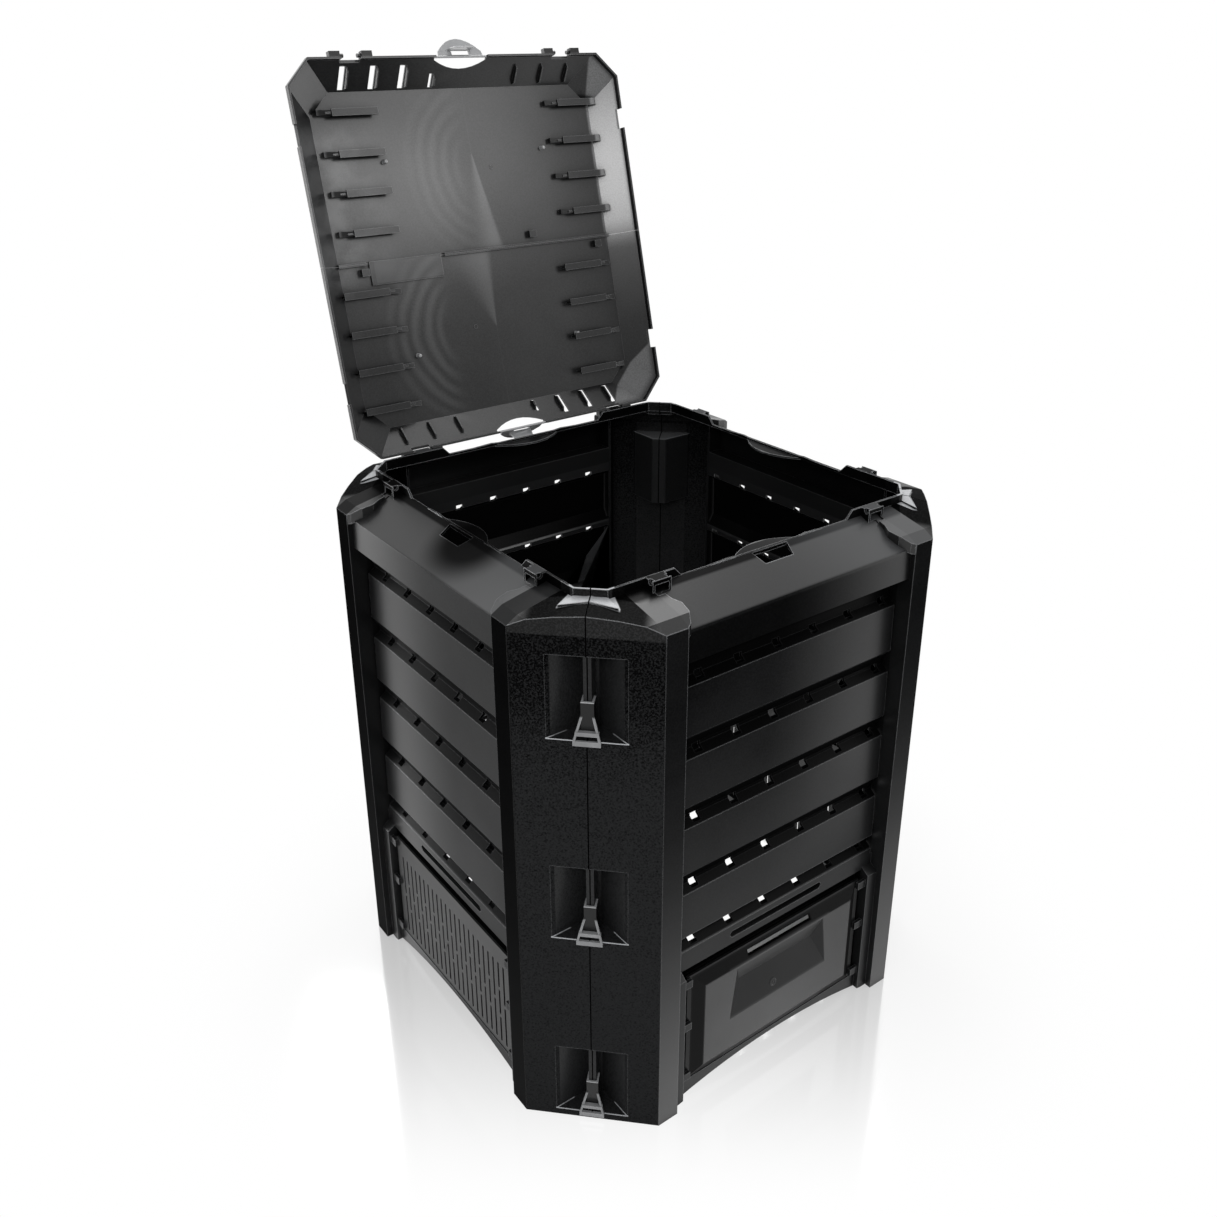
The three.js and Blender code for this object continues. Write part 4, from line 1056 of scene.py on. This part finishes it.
class COMPOST_OT_lid_marks(bpy.types.Operator):
    """Add the round gate marks and the small pegs inside the lid halves"""

    bl_idname = "compost.lid_marks"
    bl_label = "Lid marks"

    def execute(self, context):
        details = context.scene.bin_details
        for half, gate in LID_GATES.items():
            mark = gate_mark(details.gate_radius * LID_GATE_SHARE, details.gate_height)
            pegs = [peg(details.peg_radius, details.peg_height) for _ in LID_PEGS[half]]
            self.add(f"lid_gate_{half}", [mark], [gate], "lid plastic")
            # The pegs take the lighter latch plastic as a painted highlight
            self.add(f"lid_pegs_{half}", pegs, LID_PEGS[half], "latch plastic")
        return {"FINISHED"}

    def add(self, name, shapes, spots, finish):
        places = [lid_turn() @ facing((across, BIN_MIDDLE + along, LID_CEILING), (0, 0, -1))
                  for across, along in spots]
        piece(name, merged(shapes, places), named_finish(finish), "lid")


class COMPOST_OT_door_marks(bpy.types.Operator):
    """Add the round gate mark in each door's finger recess"""

    bl_idname = "compost.door_marks"
    bl_label = "Door marks"

    def execute(self, context):
        details = context.scene.bin_details
        for side in ("front", "back"):
            turn = Matrix.Translation((0, BIN_MIDDLE, 0)) @ Matrix.Rotation(WALL_TURNS[side], 4, "Z")
            mark = gate_mark(details.gate_radius, details.gate_height)
            mesh = merged([mark], [turn @ facing(*DOOR_MARK)])
            piece(f"door_mark_{side}", mesh, named_finish("insert plastic"),
                  f"door_{side}")
        return {"FINISHED"}


def area_lamp(name, place, aim, size, power):
    data = bpy.data.lights.new(name, "AREA")
    data.shape = "SQUARE"
    data.size = size
    data.energy = power
    lamp = bpy.data.objects.new(name, data)
    lamp.location = place
    lamp.rotation_mode = "QUATERNION"
    lamp.rotation_quaternion = (Vector(aim) - Vector(place)).to_track_quat("-Z", "Y")
    bpy.context.scene.collection.objects.link(lamp)


def white_world(strength):
    """Even soft light, white where the camera, gloss or clear plastic sees it."""
    world = bpy.data.worlds.new("studio")
    world.use_nodes = True
    sky = Nodes(world.node_tree)
    level = sky.looked_at() * (1 - strength) + strength
    light = sky.node("ShaderNodeBackground", None, {"Color": WHITE, "Strength": level})
    sky.node("ShaderNodeOutputWorld", None, {"Surface": light.outputs[0]})
    bpy.context.scene.world = world


def floor_finish(stage):
    """Pale floor, white where it is looked at, with a mirror image and a shadow near the bin."""
    finish = Finish("studio floor")
    finish.feed(finish.shader.inputs["Base Color"], (*stage.floor_colour, 1.0))
    finish.feed(finish.shader.inputs["Roughness"], 0.5)
    across, along, _ = finish.axes(finish.place((0, 0, 0), (0, -BIN_MIDDLE, 0)))
    reach = (across * across + along * along).root()
    under = (1 - abs(across).step(*UNDER_FAR)) * (1 - abs(along).step(*UNDER_FAR))
    under = under * (1 - (abs(across) + abs(along)).step(*UNDER_REACH))
    toward = along * -math.cos(stage.camera_turn) + across * math.sin(stage.camera_turn)
    near = (1 - toward.step(stage.floor_near, stage.floor_far)) * (1 - reach.step(*MIRROR_REACH))
    near = near * (1 - under)
    white = finish.node("ShaderNodeEmission", None, {"Color": WHITE, "Strength": 1.0})
    settled = {"Color": WHITE, "Roughness": stage.floor_rough}
    mirror = finish.node("ShaderNodeBsdfAnisotropic", None, settled)
    clean = finish.mixed(near * stage.floor_gloss, white, mirror)
    share = finish.looked_at() * (1 - near * stage.floor_shade)
    share = share * (1 - under * (1 - along.step(*STRIP_ALONG)))
    mixed = finish.mixed(share, finish.shader, clean)
    finish.feed(finish.output.inputs["Surface"], mixed.outputs[0])
    return finish.material


def photo_camera(stage):
    data = bpy.data.cameras.new("camera")
    data.sensor_width = SENSOR_WIDTH
    data.lens = stage.lens
    data.shift_x, data.shift_y = CAMERA_SHIFT
    data.clip_end = CAMERA_SIGHT
    camera = bpy.data.objects.new("camera", data)
    turn, lift = stage.camera_turn, stage.camera_lift
    back = Vector((math.sin(turn) * math.cos(lift), -math.cos(turn) * math.cos(lift), math.sin(lift)))
    camera.location = Vector(stage.camera_target) + back * stage.camera_range
    camera.rotation_mode = "QUATERNION"
    roll = Quaternion((0, 0, 1), stage.camera_roll)
    camera.rotation_quaternion = (-back).to_track_quat("-Z", "Y") @ roll
    bpy.context.scene.collection.objects.link(camera)
    bpy.context.scene.camera = camera


class COMPOST_OT_stage(bpy.types.Operator):
    """Make the floor, lamps, sky and camera"""

    bl_idname = "compost.stage"
    bl_label = "Stage"

    def execute(self, context):
        stage = context.scene.bin_stage
        context.scene.view_settings.view_transform = "Standard"
        white_world(stage.sky)
        mesh = bpy.data.meshes.new("floor")
        corners = [(x * FLOOR_REACH, y * FLOOR_REACH, 0)
                   for x, y in ((-1, -1), (1, -1), (1, 1), (-1, 1))]
        mesh.from_pydata(corners, [], [(0, 1, 2, 3)])
        floor = bpy.data.objects.new("floor", mesh)
        floor.location.z = FLOOR_DROP
        bpy.context.scene.collection.objects.link(floor)
        paint(floor, floor_finish(stage))
        for name, (place, aim, size, power) in LAMPS.items():
            area_lamp(name, place, aim, size, getattr(stage, power))
        photo_camera(stage)
        return {"FINISHED"}


class COMPOST_PT_panel(bpy.types.Panel):
    """Sizes, colours and steps of the compost bin"""

    bl_label = "Compost Bin"
    bl_space_type = "VIEW_3D"
    bl_region_type = "UI"
    bl_category = "Compost Bin"

    def draw(self, context):
        for group in (context.scene.bin_plastics, context.scene.bin_details, context.scene.bin_stage):
            box = self.layout.box()
            for name in group.__annotations__:
                box.prop(group, name)
        for step in STEPS:
            self.layout.operator(step.bl_idname)


STEPS = (
    COMPOST_OT_wall_plastic,
    COMPOST_OT_insert_plastic,
    COMPOST_OT_lid_plastic,
    COMPOST_OT_trim_plastic,
    COMPOST_OT_soft_edges,
    COMPOST_OT_lid_marks,
    COMPOST_OT_door_marks,
    COMPOST_OT_stage,
)
GROUPS = {"bin_plastics": BinPlastics, "bin_details": BinDetails, "bin_stage": BinStage}
CLASSES = (*GROUPS.values(), *STEPS, COMPOST_PT_panel)


def register():
    for item in CLASSES:
        bpy.utils.register_class(item)
    for name, group in GROUPS.items():
        setattr(bpy.types.Scene, name, bpy.props.PointerProperty(type=group))


def unregister():
    for name in GROUPS:
        delattr(bpy.types.Scene, name)
    for item in reversed(CLASSES):
        bpy.utils.unregister_class(item)


def main():
    register()
    for step in STEPS:
        group, _, operator = step.bl_idname.partition(".")
        getattr(getattr(bpy.ops, group), operator)()


if __name__ == "__main__":
    main()
